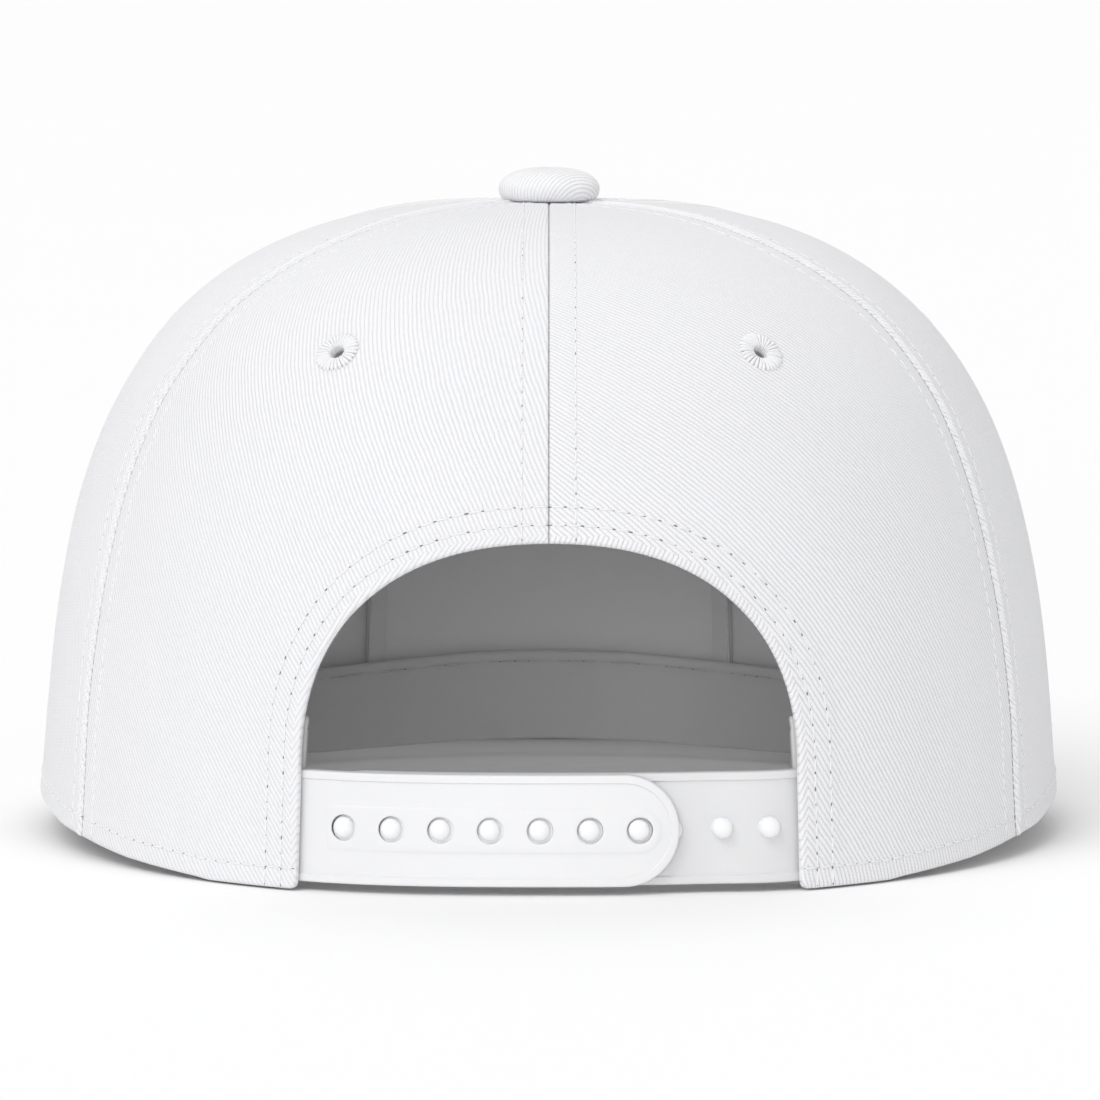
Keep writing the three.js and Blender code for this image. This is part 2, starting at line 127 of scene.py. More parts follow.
# How the cloth is sewn: what an edge looks like, with distances from it
EDGES = {
    "centre": {"roll": 0.5, "drop": 0.45, "pad": 0.14, "reach": 4.9, "ridge": 0, "rows": [4.6]},
    "side": {"roll": 0.5, "drop": 0.4, "pad": 0.1, "reach": 4.6, "ridge": 0, "rows": [4.3]},
    "ridged": {"roll": 0.4, "drop": 0.4, "pad": 0.08, "reach": 5.2, "ridge": 0.47, "rows": [4.9]},
    "hem": {"roll": 0.7, "drop": 0.62, "pad": 0.1, "reach": 3.9, "ridge": 0, "rows": [3.5]},
    "brim_side": {"roll": 0.7, "drop": 0.62, "pad": 0, "reach": 1, "ridge": 0, "rows": []},
    "arch": {"roll": 0.7, "drop": 0.62, "pad": 0.2, "reach": 7.2, "ridge": 0, "rows": [3.1, 6.35]},
}
RIDGE_AT = 1.05
RIDGE_WIDE = 0.62
GROOVE = {"depth": 0.13, "width": 0.42}
SEAM_TRIM = 0.06
FOOT_CLEAR = 0.45
FOOT_ROUND = 1.6
STITCH = {"pitch": 2.8, "gap": 0.34, "radius": 0.17, "rise": 0.1}
BRIM_STITCH_PITCH = 3.0
NEEDLE_HOLES = {"arch": 0.15, "centre": 0.12, "side": 0.05, "ridged": 0.04, "hem": 0.09}
NEEDLE_HOLES.update({"brim": 0.1, "band": 0.11})
FLUSH_STITCH = {"side": 0.16, "ridged": 0.135}
FLUSH_RISE = 0.04
# A strand of the seam's cord, from end to end: how deep its middle lies under the cloth, and its taper
STRAND = {"pitch": 0.94, "radius": 0.25, "climb": [1.6, 3.2], "across": 1.75}
STRAND_SHAPE = {
    "sunk": [0.3, 0.13, 0.06, 0.04, 0.06, 0.13, 0.3],
    "taper": [0.5, 0.9, 1, 1, 1, 0.9, 0.5],
}
SEAM_LINE = {"radius": 0.1, "dash": 1.15, "gap": 0.25, "sunk": {"centre": 0.34, "side": 0.06}}
# How an eyelet's satin stitches run outwards: distances from its axis and how far they stand proud.
# The rear ones are lifted. The others are flatter and sunk.
SATIN = {
    "count": 30,
    "reach": [EYELET["bore"] + 0.14, EYELET["bore"] + 0.14, EYELET["bore"] + 0.32, 1.95, 2.8, 3.5, 3.9, 4.02],
    "rise": [-0.9, -0.3, 0, 0.13, 0.18, 0.12, -0.05, -0.4],
    "uneven": [0, 0, 0, 0, 0.2, 0.6, 1, 1],
    "taper": [1, 1, 1, 1, 1, 1, 0.85, 0.5],
    "rear": {"lift": 0.16, "height": 1},
    "others": {"lift": -0.4, "height": 0.6},
}
WEAVE_PITCH = 0.8
BUTTON_WEAVE_PITCH = 0.86
WEAVE_LEAN = 30

# How the ribs turn over a panel: their lean by height, and how closely they follow each other across it
LEAN = {
    "height": [0, 30, 60, 80, 100, 125, 155],
    "rear_left": [37, 36, 34, 32.5, 27, 26, 36],
    "rear_right": [30, 29, 35.5, 40, 42.5, 46, 47],
}
PACKED = {"across": [-20, 25], "rear_right": [0.78, 1]}
FAN = {"place": "rear_left", "low": 80, "high": 120, "about": 10, "turn": 0.0075}
HEM_WEAVE = {"right": 12, "left": 38}
FOLDED = {"arch": 1.3, "hem": 3.4}

CAMERA = {"aside": 0.18, "back": 1209.8, "height": 168.4, "down": 5.55, "focal_px": 6529, "frame_px": 1100}


def smoothstep(x, low, high):
    share = np.clip((x - low) / (high - low), 0, 1)
    return share * share * (3 - 2 * share)


def unit(vectors):
    return vectors / np.maximum(np.linalg.norm(vectors, axis=-1, keepdims=True), 1e-12)


def folded_angle(phi):
    return np.degrees(np.arccos(np.clip(np.cos(phi), -1, 1)))


def roundness_at(phi):
    c = np.cos(phi)
    side, rear, front = (ROUNDNESS[k] for k in ("side", "rear", "front"))
    return side + (rear - front) / 2 * c + ((rear + front) / 2 - side) * c * c


def bulge_at(z):
    high = np.minimum(z / CROWN_HEIGHT, 1)
    return PANEL_BULGE * smoothstep(z, BULGE_START, BULGE_FULL) * (1 - high**6)


def seam_surface(phi, slope):
    """The crown's surface along its seams. slope is 0 at the hem and a right angle on top."""
    phi, slope = np.broadcast_arrays(phi, slope)
    power = 2 / roundness_at(phi)
    z = CROWN_HEIGHT * np.sin(slope) ** power
    ring = np.cos(slope) ** power
    grow = FLARE * np.exp(-z / FLARE_FADE) + SPREAD * z - bulge_at(z)
    x = (HALF_WIDTH + grow) * ring * np.sin(phi)
    y = -(HALF_LENGTH + grow) * ring * np.cos(phi)
    return np.stack([x, y, z], axis=-1)


def surface_normal(phi, slope):
    step = 1e-3
    along = seam_surface(phi + step, slope) - seam_surface(phi - step, slope)
    up = seam_surface(phi, slope + step) - seam_surface(phi, np.maximum(slope - step, 0))
    return unit(np.cross(along, up))


def slope_at(phi, z):
    return np.arcsin(np.clip(np.maximum(z, 0) / CROWN_HEIGHT, 0, 1) ** (roundness_at(phi) / 2))


def at_depth(phi, z, depth):
    """A place at a depth below the seam surface, at height z."""
    phi, z, depth = np.broadcast_arrays(phi, z, depth)
    slope = slope_at(phi, z)
    place = seam_surface(phi, slope) - surface_normal(phi, slope) * depth[..., None]
    place[..., 2] = z
    return place


def brim_bottom(x, y):
    return -BRIM["arch"] * (x / BRIM["half"]) ** 2 - BRIM["fall"] * y


def brim_edge(u):
    corner = seam_surface(BRIM_CORNER * DEGREE, 0.0)
    back = ((BRIM["centre"] - corner[1]) / BRIM["reach"]) ** (BRIM["roundness"] / 2)
    turn = (2 * u - 1) * (math.pi / 2 + math.asin(back))
    power = 2 / BRIM["roundness"]
    x = BRIM["half"] * np.sign(turn) * np.abs(np.sin(turn)) ** power
    y = BRIM["centre"] + BRIM["reach"] * np.sign(np.cos(turn)) * np.abs(np.cos(turn)) ** power
    return np.stack([x, y], axis=-1)


BRIM_RIM = brim_edge(np.linspace(0, 1, 1201))
BRIM_LIFT = -brim_bottom(BRIM_RIM[:, 0], BRIM_RIM[:, 1]).min()


def hem_height(phi):
    def on_brim(turn):
        wall = seam_surface(turn, 0.0)
        return BRIM_LIFT + brim_bottom(wall[..., 0], wall[..., 1]) + BRIM["thick"] + GAP

    angle = folded_angle(phi)
    angles = HEM["angle"] + [BRIM_CORNER]
    shares = HEM["share"] + [float(on_brim(BRIM_CORNER * DEGREE)) / HEM_LIFT]
    return np.where(angle >= BRIM_CORNER, on_brim(phi), HEM_LIFT * np.interp(angle, angles, shares))


def lengths_along(curve):
    """How far along a curve each of its points lies."""
    return np.concatenate([[0], np.cumsum(np.linalg.norm(np.diff(curve, axis=0), axis=1))])


def sampled(curve, along, at):
    """Places at given lengths on a curve whose points lie at the lengths along."""
    return np.stack([np.interp(at, along, curve[:, k]) for k in range(curve.shape[1])], axis=-1)


def resample(curve, count):
    """Points evenly spaced along a curve."""
    along = lengths_along(curve)
    return sampled(curve, along, np.linspace(0, along[-1], count))


def on_curve(curve, share):
    """The place at a share of a curve's length."""
    along = lengths_along(curve)
    return sampled(curve, along, share * along[-1])


# A flat map of the crown. Heights on it are lengths of one meridian.
# Widths are angles times the radius of the ring at that height.
MAP_ANGLE = 0.9
MAP_SLOPES = np.linspace(0, math.pi / 2, 6001)
MERIDIAN = seam_surface(np.full_like(MAP_SLOPES, MAP_ANGLE), MAP_SLOPES)
MAP_LENGTHS = lengths_along(MERIDIAN)
MAP_RADII = np.maximum(np.hypot(MERIDIAN[:, 0], MERIDIAN[:, 1]), 0.4)


def radius_on_map(slope):
    return np.interp(slope, MAP_SLOPES, MAP_RADII)


def nearest(points, curve):
    """Distance from each point to a curve, and how far along the curve it is."""
    shape = points.shape[:-1]
    flat = points.reshape(-1, 3)
    along = lengths_along(curve)
    steps = np.linalg.norm(np.diff(curve, axis=0), axis=1)
    distance, place = np.empty(len(flat)), np.empty(len(flat))
    squares = (curve**2).sum(1)
    for start in range(0, len(flat), 4000):
        part = flat[start : start + 4000]
        k = np.argmin(squares - 2 * part @ curve.T, axis=1)
        best = np.full(len(part), 1e9)
        spot = np.zeros(len(part))
        for first in (np.clip(k - 1, 0, len(curve) - 2), np.clip(k, 0, len(curve) - 2)):
            run = curve[first + 1] - curve[first]
            share = np.clip(((part - curve[first]) * run).sum(1) / (run**2).sum(1), 0, 1)
            gap = np.linalg.norm(part - curve[first] - run * share[:, None], axis=1)
            closer = gap < best
            best = np.where(closer, gap, best)
            spot = np.where(closer, along[first] + share * steps[first], spot)
        distance[start : start + 4000] = best
        place[start : start + 4000] = spot
    return distance.reshape(shape), place.reshape(shape)


def spread(length, near, far, count):
    """Places from 0 to 1 along a line: fixed distances at both ends and even steps between."""
    near, far = np.array(near), np.array(far)
    room = 0.42 * length
    first = near * min(1, room / max(near[-1], 1e-6))
    last = length - far[::-1] * min(1, room / max(far[-1], 1e-6))
    middle = np.linspace(first[-1], last[0], count + 2)[1:-1]
    return np.concatenate([first, middle, last]) / length


def patch(low, high, left, right, s, t):
    """A place inside four curves that meet at their ends. low and high run with s, left and right with t."""
    s3, t3 = s[..., None], t[..., None]
    corners = (1 - s3) * ((1 - t3) * low[0] + t3 * high[0]) + s3 * ((1 - t3) * low[-1] + t3 * high[-1])
    across = (1 - t3) * on_curve(low, s) + t3 * on_curve(high, s)
    upward = (1 - s3) * on_curve(left, t) + s3 * on_curve(right, t)
    return across + upward - corners


def fitted_grid(curves, near_s, far_s, count_s, near_t, far_t, count_t):
    """A grid over a patch whose outer lines keep fixed distances from its edges."""
    columns = len(near_s) + len(far_s) + count_s
    rows = len(near_t) + len(far_t) + count_t
    s, t = np.meshgrid(np.linspace(0, 1, columns), np.linspace(0, 1, rows), indexing="ij")
    for _ in range(3):
        points = patch(*curves, s, t)
        across = np.linalg.norm(np.diff(points, axis=0), axis=-1).sum(0)
        upward = np.linalg.norm(np.diff(points, axis=1), axis=-1).sum(1)
        s = np.stack([spread(length, near_s, far_s, count_s) for length in across], axis=1)
        t = np.stack([spread(length, near_t, far_t, count_t) for length in upward], axis=0)
    return patch(*curves, s, t)


def inside(points, outline):
    """Which flat points lie inside a closed outline."""
    x, y = points[..., 0], points[..., 1]
    result = np.zeros(x.shape, bool)
    for a, b in zip(outline, np.roll(outline, -1, axis=0)):
        crosses = (a[1] > y) != (b[1] > y)
        if crosses.any():
            result ^= crosses & (x < (b[0] - a[0]) * (y - a[1]) / (b[1] - a[1] + 1e-12) + a[0])
    return result


def wobble(place):
    """The slight unevenness of sewn cloth."""
    x, y, z = place[..., 0], place[..., 1], place[..., 2]
    slow = np.sin(x / 9.1 + 0.7 * np.sin(z / 13.0)) * np.sin(z / 11.3 + y / 17.0 + 1.3)
    quick = np.sin(x / 4.3 + z / 5.9 + 2.1) * np.sin(y / 5.1 - z / 7.7)
    return (0.1 * slow + 0.035 * quick) * smoothstep(z, 0, 8)


def rolled(distance, radius, drop):
    """How far a rolled edge falls away, by its whole drop at the edge itself."""
    share = np.clip(1 - distance / radius, 0, 1)
    return drop * (1 - np.sqrt(1 - share**2))


class Panel:
    """One crown panel on the flat map of the crown, with its edges as curves."""

    def __init__(self, place, left, right, left_kind, right_kind):
        self.place = place
        self.middle = (left(0.0) + right(0.0)) / 2 * DEGREE
        self.rear = place.startswith("rear")
        self.hand = 1 if place.endswith("right") else -1
        self.left_seam = self.seam(left, 1)
        self.right_seam = self.seam(right, -1)
        hem_kind = "brim_side" if place.startswith("front") else "hem"
        kinds = {"left": left_kind, "right": right_kind, "hem": hem_kind}
        ends = [self.left_seam[0][0], self.right_seam[0][0]]
        tops = [self.left_seam[-1], self.right_seam[-1]]
        apex = np.linspace(tops[0], tops[1], 12)
        curves = {"left": self.left_seam, "right": self.right_seam}
        if self.rear:
            inner, outer = ("left", "right") if self.hand > 0 else ("right", "left")
            kinds["arch"] = "arch"
            curves["arch"] = self.arch(self.hand)
            start = curves["arch"][0]
            self.centre_line = self.centre_above(curves[inner], start)
            curves[inner] = self.centre_line
            foot = curves["arch"][-1][0]
            curves["hem"] = self.hem(foot, ends[0] if inner == "right" else ends[1])
            down = curves[outer][::-1]
            way = apex if inner == "left" else apex[::-1]
            sides = [curves["arch"], np.concatenate([way, down[1:]]), curves[inner], curves["hem"]]
            self.patch_names = ["arch", outer, inner, "hem"]
        else:
            curves["hem"] = self.hem(*ends)
            sides = [curves["hem"], apex, curves["left"], curves["right"]]
            self.patch_names = ["hem", "apex", "left", "right"]
        self.patch_curves = [self.to_map(c) for c in sides]
        self.curves = {name: self.to_map(c) for name, c in curves.items()}
        self.kinds = {name: EDGES[kinds[name]] for name in curves}
        self.kind_names = {name: kinds[name] for name in curves}
        self.solid = {name: seam_surface(c[:, 0], c[:, 1]) for name, c in curves.items()}
        bottom, top, left_side, right_side = self.patch_curves
        self.outline = np.concatenate([bottom, right_side, top[::-1], left_side[::-1]])

    def seam(self, angle_at, inwards):
        """A seam as rows of angle and slope, from the hem up, trimmed towards the panel."""
        share = np.linspace(0, 1, 700) ** 1.5
        angle = np.array([angle_at(s) for s in share]) * DEGREE
        low = slope_at(angle, hem_height(angle))
        high = np.arccos((APEX_HOLE / HALF_WIDTH) ** (roundness_at(angle) / 2))
        slope = low + (high - low) * share
        wall = seam_surface(angle, slope)
        angle = angle + inwards * SEAM_TRIM / np.hypot(wall[:, 0], wall[:, 1])
        return np.stack([angle, slope], axis=-1)

    def hem(self, start, end):
        angle = np.linspace(start, end, 260)
        height = np.maximum(hem_height(angle), FOOT_CLEAR)
        return np.stack([angle, slope_at(angle, height)], axis=-1)

    def centre_above(self, seam, start):
        above = seam[seam[:, 1] > start[1] + 1e-4]
        return np.concatenate([[start], above])

    def arch(self, sign):
        """The opening's edge from its top to its foot, where the middle of the cloth's thickness meets it."""
        turn = np.linspace(math.pi / 2, 0, 240)
        half, spring, power = OPENING["half"], OPENING["spring"], 2 / OPENING["roundness"]
        x = half * np.clip(np.cos(turn), 0, 1) ** power
        z = spring + OPENING["rise"] * np.sin(turn) ** power
        x[0] = SEAM_TRIM
        drop = np.linspace(1, 0, 60)[1:]
        x = sign * np.concatenate([x, half + (OPENING["foot"] - half) * (1 - drop)])
        z = np.concatenate([z, FOOT_CLEAR + (spring - FOOT_CLEAR) * drop])
        aim_x, aim_z = x.copy(), z.copy()
        for _ in range(6):
            angle = np.arcsin(np.clip(aim_x / HALF_WIDTH, -0.9, 0.9))
            for _ in range(4):
                slope = slope_at(angle, aim_z)
                width = np.abs(seam_surface(angle, slope)[:, 0] / np.sin(angle))
                angle = np.arcsin(aim_x / width)
            out = surface_normal(angle, slope)
            lift = self.swell(angle, slope) - PANEL_THICK / 2
            place = seam_surface(angle, slope) + out * lift[:, None]
            aim_x = aim_x + x - place[:, 0]
            aim_z = np.maximum(aim_z + z - place[:, 2], FOOT_CLEAR)
        angle[0] = sign * SEAM_TRIM / HALF_LENGTH
        return resample(np.stack([angle, slope], axis=-1), 500)

    def to_map(self, curve):
        width = (curve[..., 0] - self.middle) * radius_on_map(curve[..., 1])
        return np.stack([width, np.interp(curve[..., 1], MAP_SLOPES, MAP_LENGTHS)], axis=-1)

    def from_map(self, points):
        slope = np.interp(points[..., 1], MAP_LENGTHS, MAP_SLOPES)
        return self.middle + points[..., 0] / radius_on_map(slope), slope

    def swell(self, phi, slope):
        left = np.interp(slope, self.left_seam[:, 1], self.left_seam[:, 0])
        right = np.interp(slope, self.right_seam[:, 1], self.right_seam[:, 0])
        across = np.clip((phi - left) / (right - left), 0, 1)
        z = CROWN_HEIGHT * np.sin(slope) ** (2 / roundness_at(phi))
        return bulge_at(z) * np.sin(math.pi * across) ** 0.8

    def faces(self, points):
        """Outer and inner places over points of the map, and the direction outwards."""
        phi, slope = self.from_map(points)
        base = seam_surface(phi, slope)
        out = surface_normal(phi, slope)
        level = self.swell(phi, slope) + wobble(base)
        pad, roll, fold = np.zeros(base.shape[:-1]), np.zeros(base.shape[:-1]), np.zeros(base.shape[:-1])
        relief = np.zeros(base.shape[:-1])
        for name, kind in self.kinds.items():
            gap, along = nearest(base, self.solid[name])
            pad = np.maximum(pad, kind["pad"] * (1 - smoothstep(gap, kind["reach"], kind["reach"] + 1.1)))
            drop = rolled(gap, kind["roll"], kind["drop"])
            roll = np.maximum(roll, drop)
            if kind["drop"] > 0.6:
                fold = np.maximum(fold, drop)
            relief += kind["ridge"] * np.exp(-(((gap - RIDGE_AT) / RIDGE_WIDE) ** 2))
            for row in kind["rows"]:
                tug = 0.8 + 0.2 * np.cos(2 * math.pi * along / STITCH["pitch"])
                relief -= GROOVE["depth"] * tug * np.exp(-(((gap - row) / GROOVE["width"]) ** 2))
        outer = base + out * (level + pad + relief - roll)[..., None]
        inner = base + out * (level - PANEL_THICK + fold)[..., None]
        return outer, inner, out

    def foot_rounding(self, points):
        """How far each place moves so that the corner at the opening's foot is round."""
        arch, hem = self.patch_curves[0], self.patch_curves[3]
        ways = np.stack([unit(hem[8] - hem[0]), unit(arch[-9] - arch[-1])], axis=-1)
        inset = 1 - (points - hem[0]) @ np.linalg.inv(ways).T / FOOT_ROUND
        near = (inset > 0).all(axis=-1) & (inset < 1.01).all(axis=-1)
        rounded = inset * np.sqrt(1 - inset[..., ::-1] ** 2 / 2 * near[..., None])
        moved = points + (inset - rounded) * FOOT_ROUND @ ways.T
        shift = seam_surface(*self.from_map(moved)) - seam_surface(*self.from_map(points))
        return np.where(near[..., None], shift, 0)

    def row(self, name, distance, clear):
        """A line on the map at a distance from an edge, inside the panel and clear of what is named."""
        edge = resample(self.curves[name], 900)
        run = unit(np.gradient(edge, axis=0))
        aside = np.stack([-run[:, 1], run[:, 0]], axis=-1)
        if not inside(edge[450:451] + aside[450:451] * 0.5, self.outline)[0]:
            aside = -aside
        reach = np.full(len(edge), distance)
        for _ in range(3):
            line = edge + aside * reach[:, None]
            phi, slope = self.from_map(line)
            gap, _ = nearest(seam_surface(phi, slope), self.solid[name])
            reach = reach * distance / np.maximum(gap, 0.3)
        line = edge + aside * reach[:, None]
        phi, slope = self.from_map(line)
        place = seam_surface(phi, slope)
        keep = inside(line, self.outline) & (np.hypot(place[:, 0], place[:, 1]) > BUTTON["radius"] - 1.5)
        for other, margin in clear.items():
            if other in self.solid and other != name:
                keep &= nearest(place, self.solid[other])[0] > margin
        keep &= nearest(place, self.solid[name])[0] > 0.93 * distance
        return line[keep]


def rear_side(share):
    return float(np.interp(share * 90, REAR_SIDE_SEAM["slope"], REAR_SIDE_SEAM["angle"]))


def fixed(angle):
    return lambda share: angle


PANELS = [
    Panel("rear_right", fixed(0.0), rear_side, "centre", "side"),
    Panel("side_right", rear_side, fixed(FRONT_SIDE_SEAM), "ridged", "ridged"),
    Panel("front_right", fixed(FRONT_SIDE_SEAM), fixed(180.0), "side", "centre"),
    Panel("front_left", fixed(-180.0), fixed(-FRONT_SIDE_SEAM), "centre", "side"),
    Panel("side_left", fixed(-FRONT_SIDE_SEAM), lambda share: -rear_side(share), "ridged", "ridged"),
    Panel("rear_left", lambda share: -rear_side(share), fixed(0.0), "side", "centre"),
]


# Meshes

def make_piece(name, places, faces, materials, slot, replaces=(), uv=None, face_materials=None):
    """A piece from places in millimetres. uv has a row for each corner of each face."""
    mesh = bpy.data.meshes.new(name)
    points = (np.asarray(places, float) + [0, AXIS_Y, 0]) * MM
    mesh.from_pydata(points.tolist(), [], [list(map(int, f)) for f in faces])
    for material in materials:
        mesh.materials.append(material)
    if face_materials is not None:
        mesh.polygons.foreach_set("material_index", np.asarray(face_materials, np.int32))
    if uv is not None:
        layer = mesh.uv_layers.new(name="weave")
        layer.data.foreach_set("uv", np.asarray(uv, np.float32).ravel())
    mesh.polygons.foreach_set("use_smooth", np.ones(len(mesh.polygons), bool))
    mesh.update()
    piece = bpy.data.objects.new(name, mesh)
    bpy.context.scene.collection.objects.link(piece)
    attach(piece, "root")
    if replaces:
        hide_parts(*replaces)
    return piece


def walls_round(front, size):
    """Walls from the free edges of the front faces to the places that come size later, behind them."""
    corners = front.shape[1]
    edges = np.concatenate([front[:, [k, (k + 1) % corners]] for k in range(corners)]).astype(np.int64)
    rim = edges[~np.isin(edges[:, 0] * size + edges[:, 1], edges[:, 1] * size + edges[:, 0])]
    return np.stack([rim[:, 1], rim[:, 0], rim[:, 0] + size, rim[:, 1] + size], axis=-1)


def closed_sheet(outer, inner, keep=None):
    """Faces of a closed sheet between two grids of places, with all its cells or only the kept ones.

    Gives the places, the faces, 0 (outside), 1 (inside) or 2 (edge) by face, and each place's grid point.
    """
    columns, rows = outer.shape[:2]
    if keep is None:
        keep = np.ones((columns - 1, rows - 1), bool)
    size = columns * rows
    index = np.arange(size).reshape(columns, rows)
    a, b, c, d = index[:-1, :-1], index[1:, :-1], index[1:, 1:], index[:-1, 1:]
    i, j = columns // 2, rows // 2
    facing = np.cross(outer[i + 1, j] - outer[i, j], outer[i, j + 1] - outer[i, j])
    if facing @ (outer[i, j] - inner[i, j]) < 0:
        a, b, c, d = a, d, c, b
    front = np.stack([a[keep], b[keep], c[keep], d[keep]], axis=-1)
    back = front[:, ::-1] + size
    walls = walls_round(front, size)
    faces = np.concatenate([front, back, walls])
    sides = np.repeat([0, 1, 2], [len(front), len(back), len(walls)])
    used = np.unique(faces)
    renumber = np.zeros(2 * size, np.int64)
    renumber[used] = np.arange(len(used))
    places = np.concatenate([outer.reshape(-1, 3), inner.reshape(-1, 3)])
    return places[used], renumber[faces], sides, used % size


def tubes(centres, normals, radii, sides=6):
    """Closed tubes through centres[tube, ring], as places and faces."""
    count, rings = centres.shape[:2]
    along = unit(np.gradient(centres, axis=1))
    side = unit(np.cross(along, normals))
    top = np.cross(side, along)
    turn = np.arange(sides) * 2 * math.pi / sides
    around = np.cos(turn)[:, None] * side[:, :, None] + np.sin(turn)[:, None] * top[:, :, None]
    places = centres[:, :, None] + around * np.broadcast_to(radii, (count, rings))[..., None, None]
    index = np.arange(count * rings * sides).reshape(count, rings, sides)
    near, far = index[:, :-1], index[:, 1:]
    quads = np.stack([near, far, np.roll(far, -1, axis=2), np.roll(near, -1, axis=2)], axis=-1).reshape(-1, 4)
    caps = [list(ring) for ring in index[:, 0]] + [list(ring[::-1]) for ring in index[:, -1]]
    return places.reshape(-1, 3), quads.tolist() + caps


def joined(parts):
    """Several sets of places and faces as one."""
    places, faces, start = [], [], 0
    for points, polygons in parts:
        places.append(points)
        faces += [[k + start for k in polygon] for polygon in polygons]
        start += len(points)
    return np.concatenate(places), faces


def frame_at(out):
    """Two directions across a direction, the first level and the second upwards."""
    level = unit(np.cross([0, 0, 1], out))
    return level, np.cross(out, level)


def lathe(profile, segments, place, out):
    """A closed turned body from rows of radius and height about a place, with its axis along out."""
    profile = np.array(profile, float)
    turn = np.arange(segments) * 2 * math.pi / segments
    level, up = frame_at(out) if abs(out[2]) < 0.999 else (np.array([1, 0, 0]), np.array([0, 1, 0]))
    around = np.cos(turn)[:, None] * level + np.sin(turn)[:, None] * up
    rings, places, faces = [], [], []
    for radius, height in profile:
        start = len(places)
        if radius < 1e-9:
            places.append(place + out * height)
            rings.append([start] * segments)
        else:
            places.extend(place + out * height + around * radius)
            rings.append(list(range(start, start + segments)))
    pairs = list(zip(rings, rings[1:]))
    if profile[0][0] > 1e-9:
        pairs.append((rings[-1], rings[0]))
    for low, high in pairs:
        for k in range(segments):
            n = (k + 1) % segments
            corners = [low[k], low[n], high[n], high[k]]
            faces.append(list(dict.fromkeys(corners)))
    return np.array(places), faces


# Materials

class Surface:
    """A node material while it is put together."""

    def __init__(self, name, roughness, **values):
        self.material = bpy.data.materials.new(name)
        self.material.use_nodes = True
        self.nodes = self.material.node_tree.nodes
        self.links = self.material.node_tree.links
        self.shader = self.nodes["Principled BSDF"]
        self.shader.inputs["Roughness"].default_value = roughness
        for key, value in values.items():
            self.shader.inputs[key.replace("_", " ")].default_value = value

    def put(self, socket, value):
        if isinstance(value, bpy.types.NodeSocket):
            self.links.new(value, socket)
        else:
            socket.default_value = value

    def math(self, operation, *values):
        node = self.nodes.new("ShaderNodeMath")
        node.operation = operation
        for socket, value in zip(node.inputs, values):
            self.put(socket, value)
        return node.outputs[0]

    def split(self, vector):
        parts = self.nodes.new("ShaderNodeSeparateXYZ")
        self.links.new(vector, parts.inputs[0])
        return parts.outputs

    def flat_map(self):
        node = self.nodes.new("ShaderNodeUVMap")
        node.uv_map = "weave"
        u, v, _ = self.split(node.outputs[0])
        return node.outputs[0], u, v

    def place(self):
        return self.nodes.new("ShaderNodeTexCoord").outputs["Object"]

    def noise(self, vector, scale, detail=2.0):
        node = self.nodes.new("ShaderNodeTexNoise")
        node.inputs["Scale"].default_value = scale
        node.inputs["Detail"].default_value = detail
        self.links.new(vector, node.inputs["Vector"])
        return node.outputs["Fac"]

    def colour(self, factor, low, high):
        node = self.nodes.new("ShaderNodeMix")
        node.data_type = "RGBA"
        self.put(node.inputs[0], factor)
        self.put(node.inputs[6], (*low, 1))
        self.put(node.inputs[7], (*high, 1))
        self.links.new(node.outputs[2], self.shader.inputs["Base Color"])

    def bump(self, height, depth):
        node = self.nodes.new("ShaderNodeBump")
        node.inputs["Distance"].default_value = depth * MM
        self.links.new(height, node.inputs["Height"])
        self.links.new(node.outputs[0], self.shader.inputs["Normal"])

    def span(self, value, start, end, low, high):
        """A value mapped from start to end onto low to high, and held there beyond them."""
        node = self.nodes.new("ShaderNodeMapRange")
        for socket, number in zip(node.inputs, (value, start, end, low, high)):
            self.put(socket, number)
        return node.outputs[0]

    def between(self, value, low, high):
        return self.span(value, 0, 1, low, high)


FLOAT_LENGTH = 0.62
MEAN_GROOVE = 0.28
# Between these heights in metres the ribs' painted shade and their bump fade towards the top, down to this
# share
RIB_FADE = {"height": (0.08, 0.112), "share": 0.5}


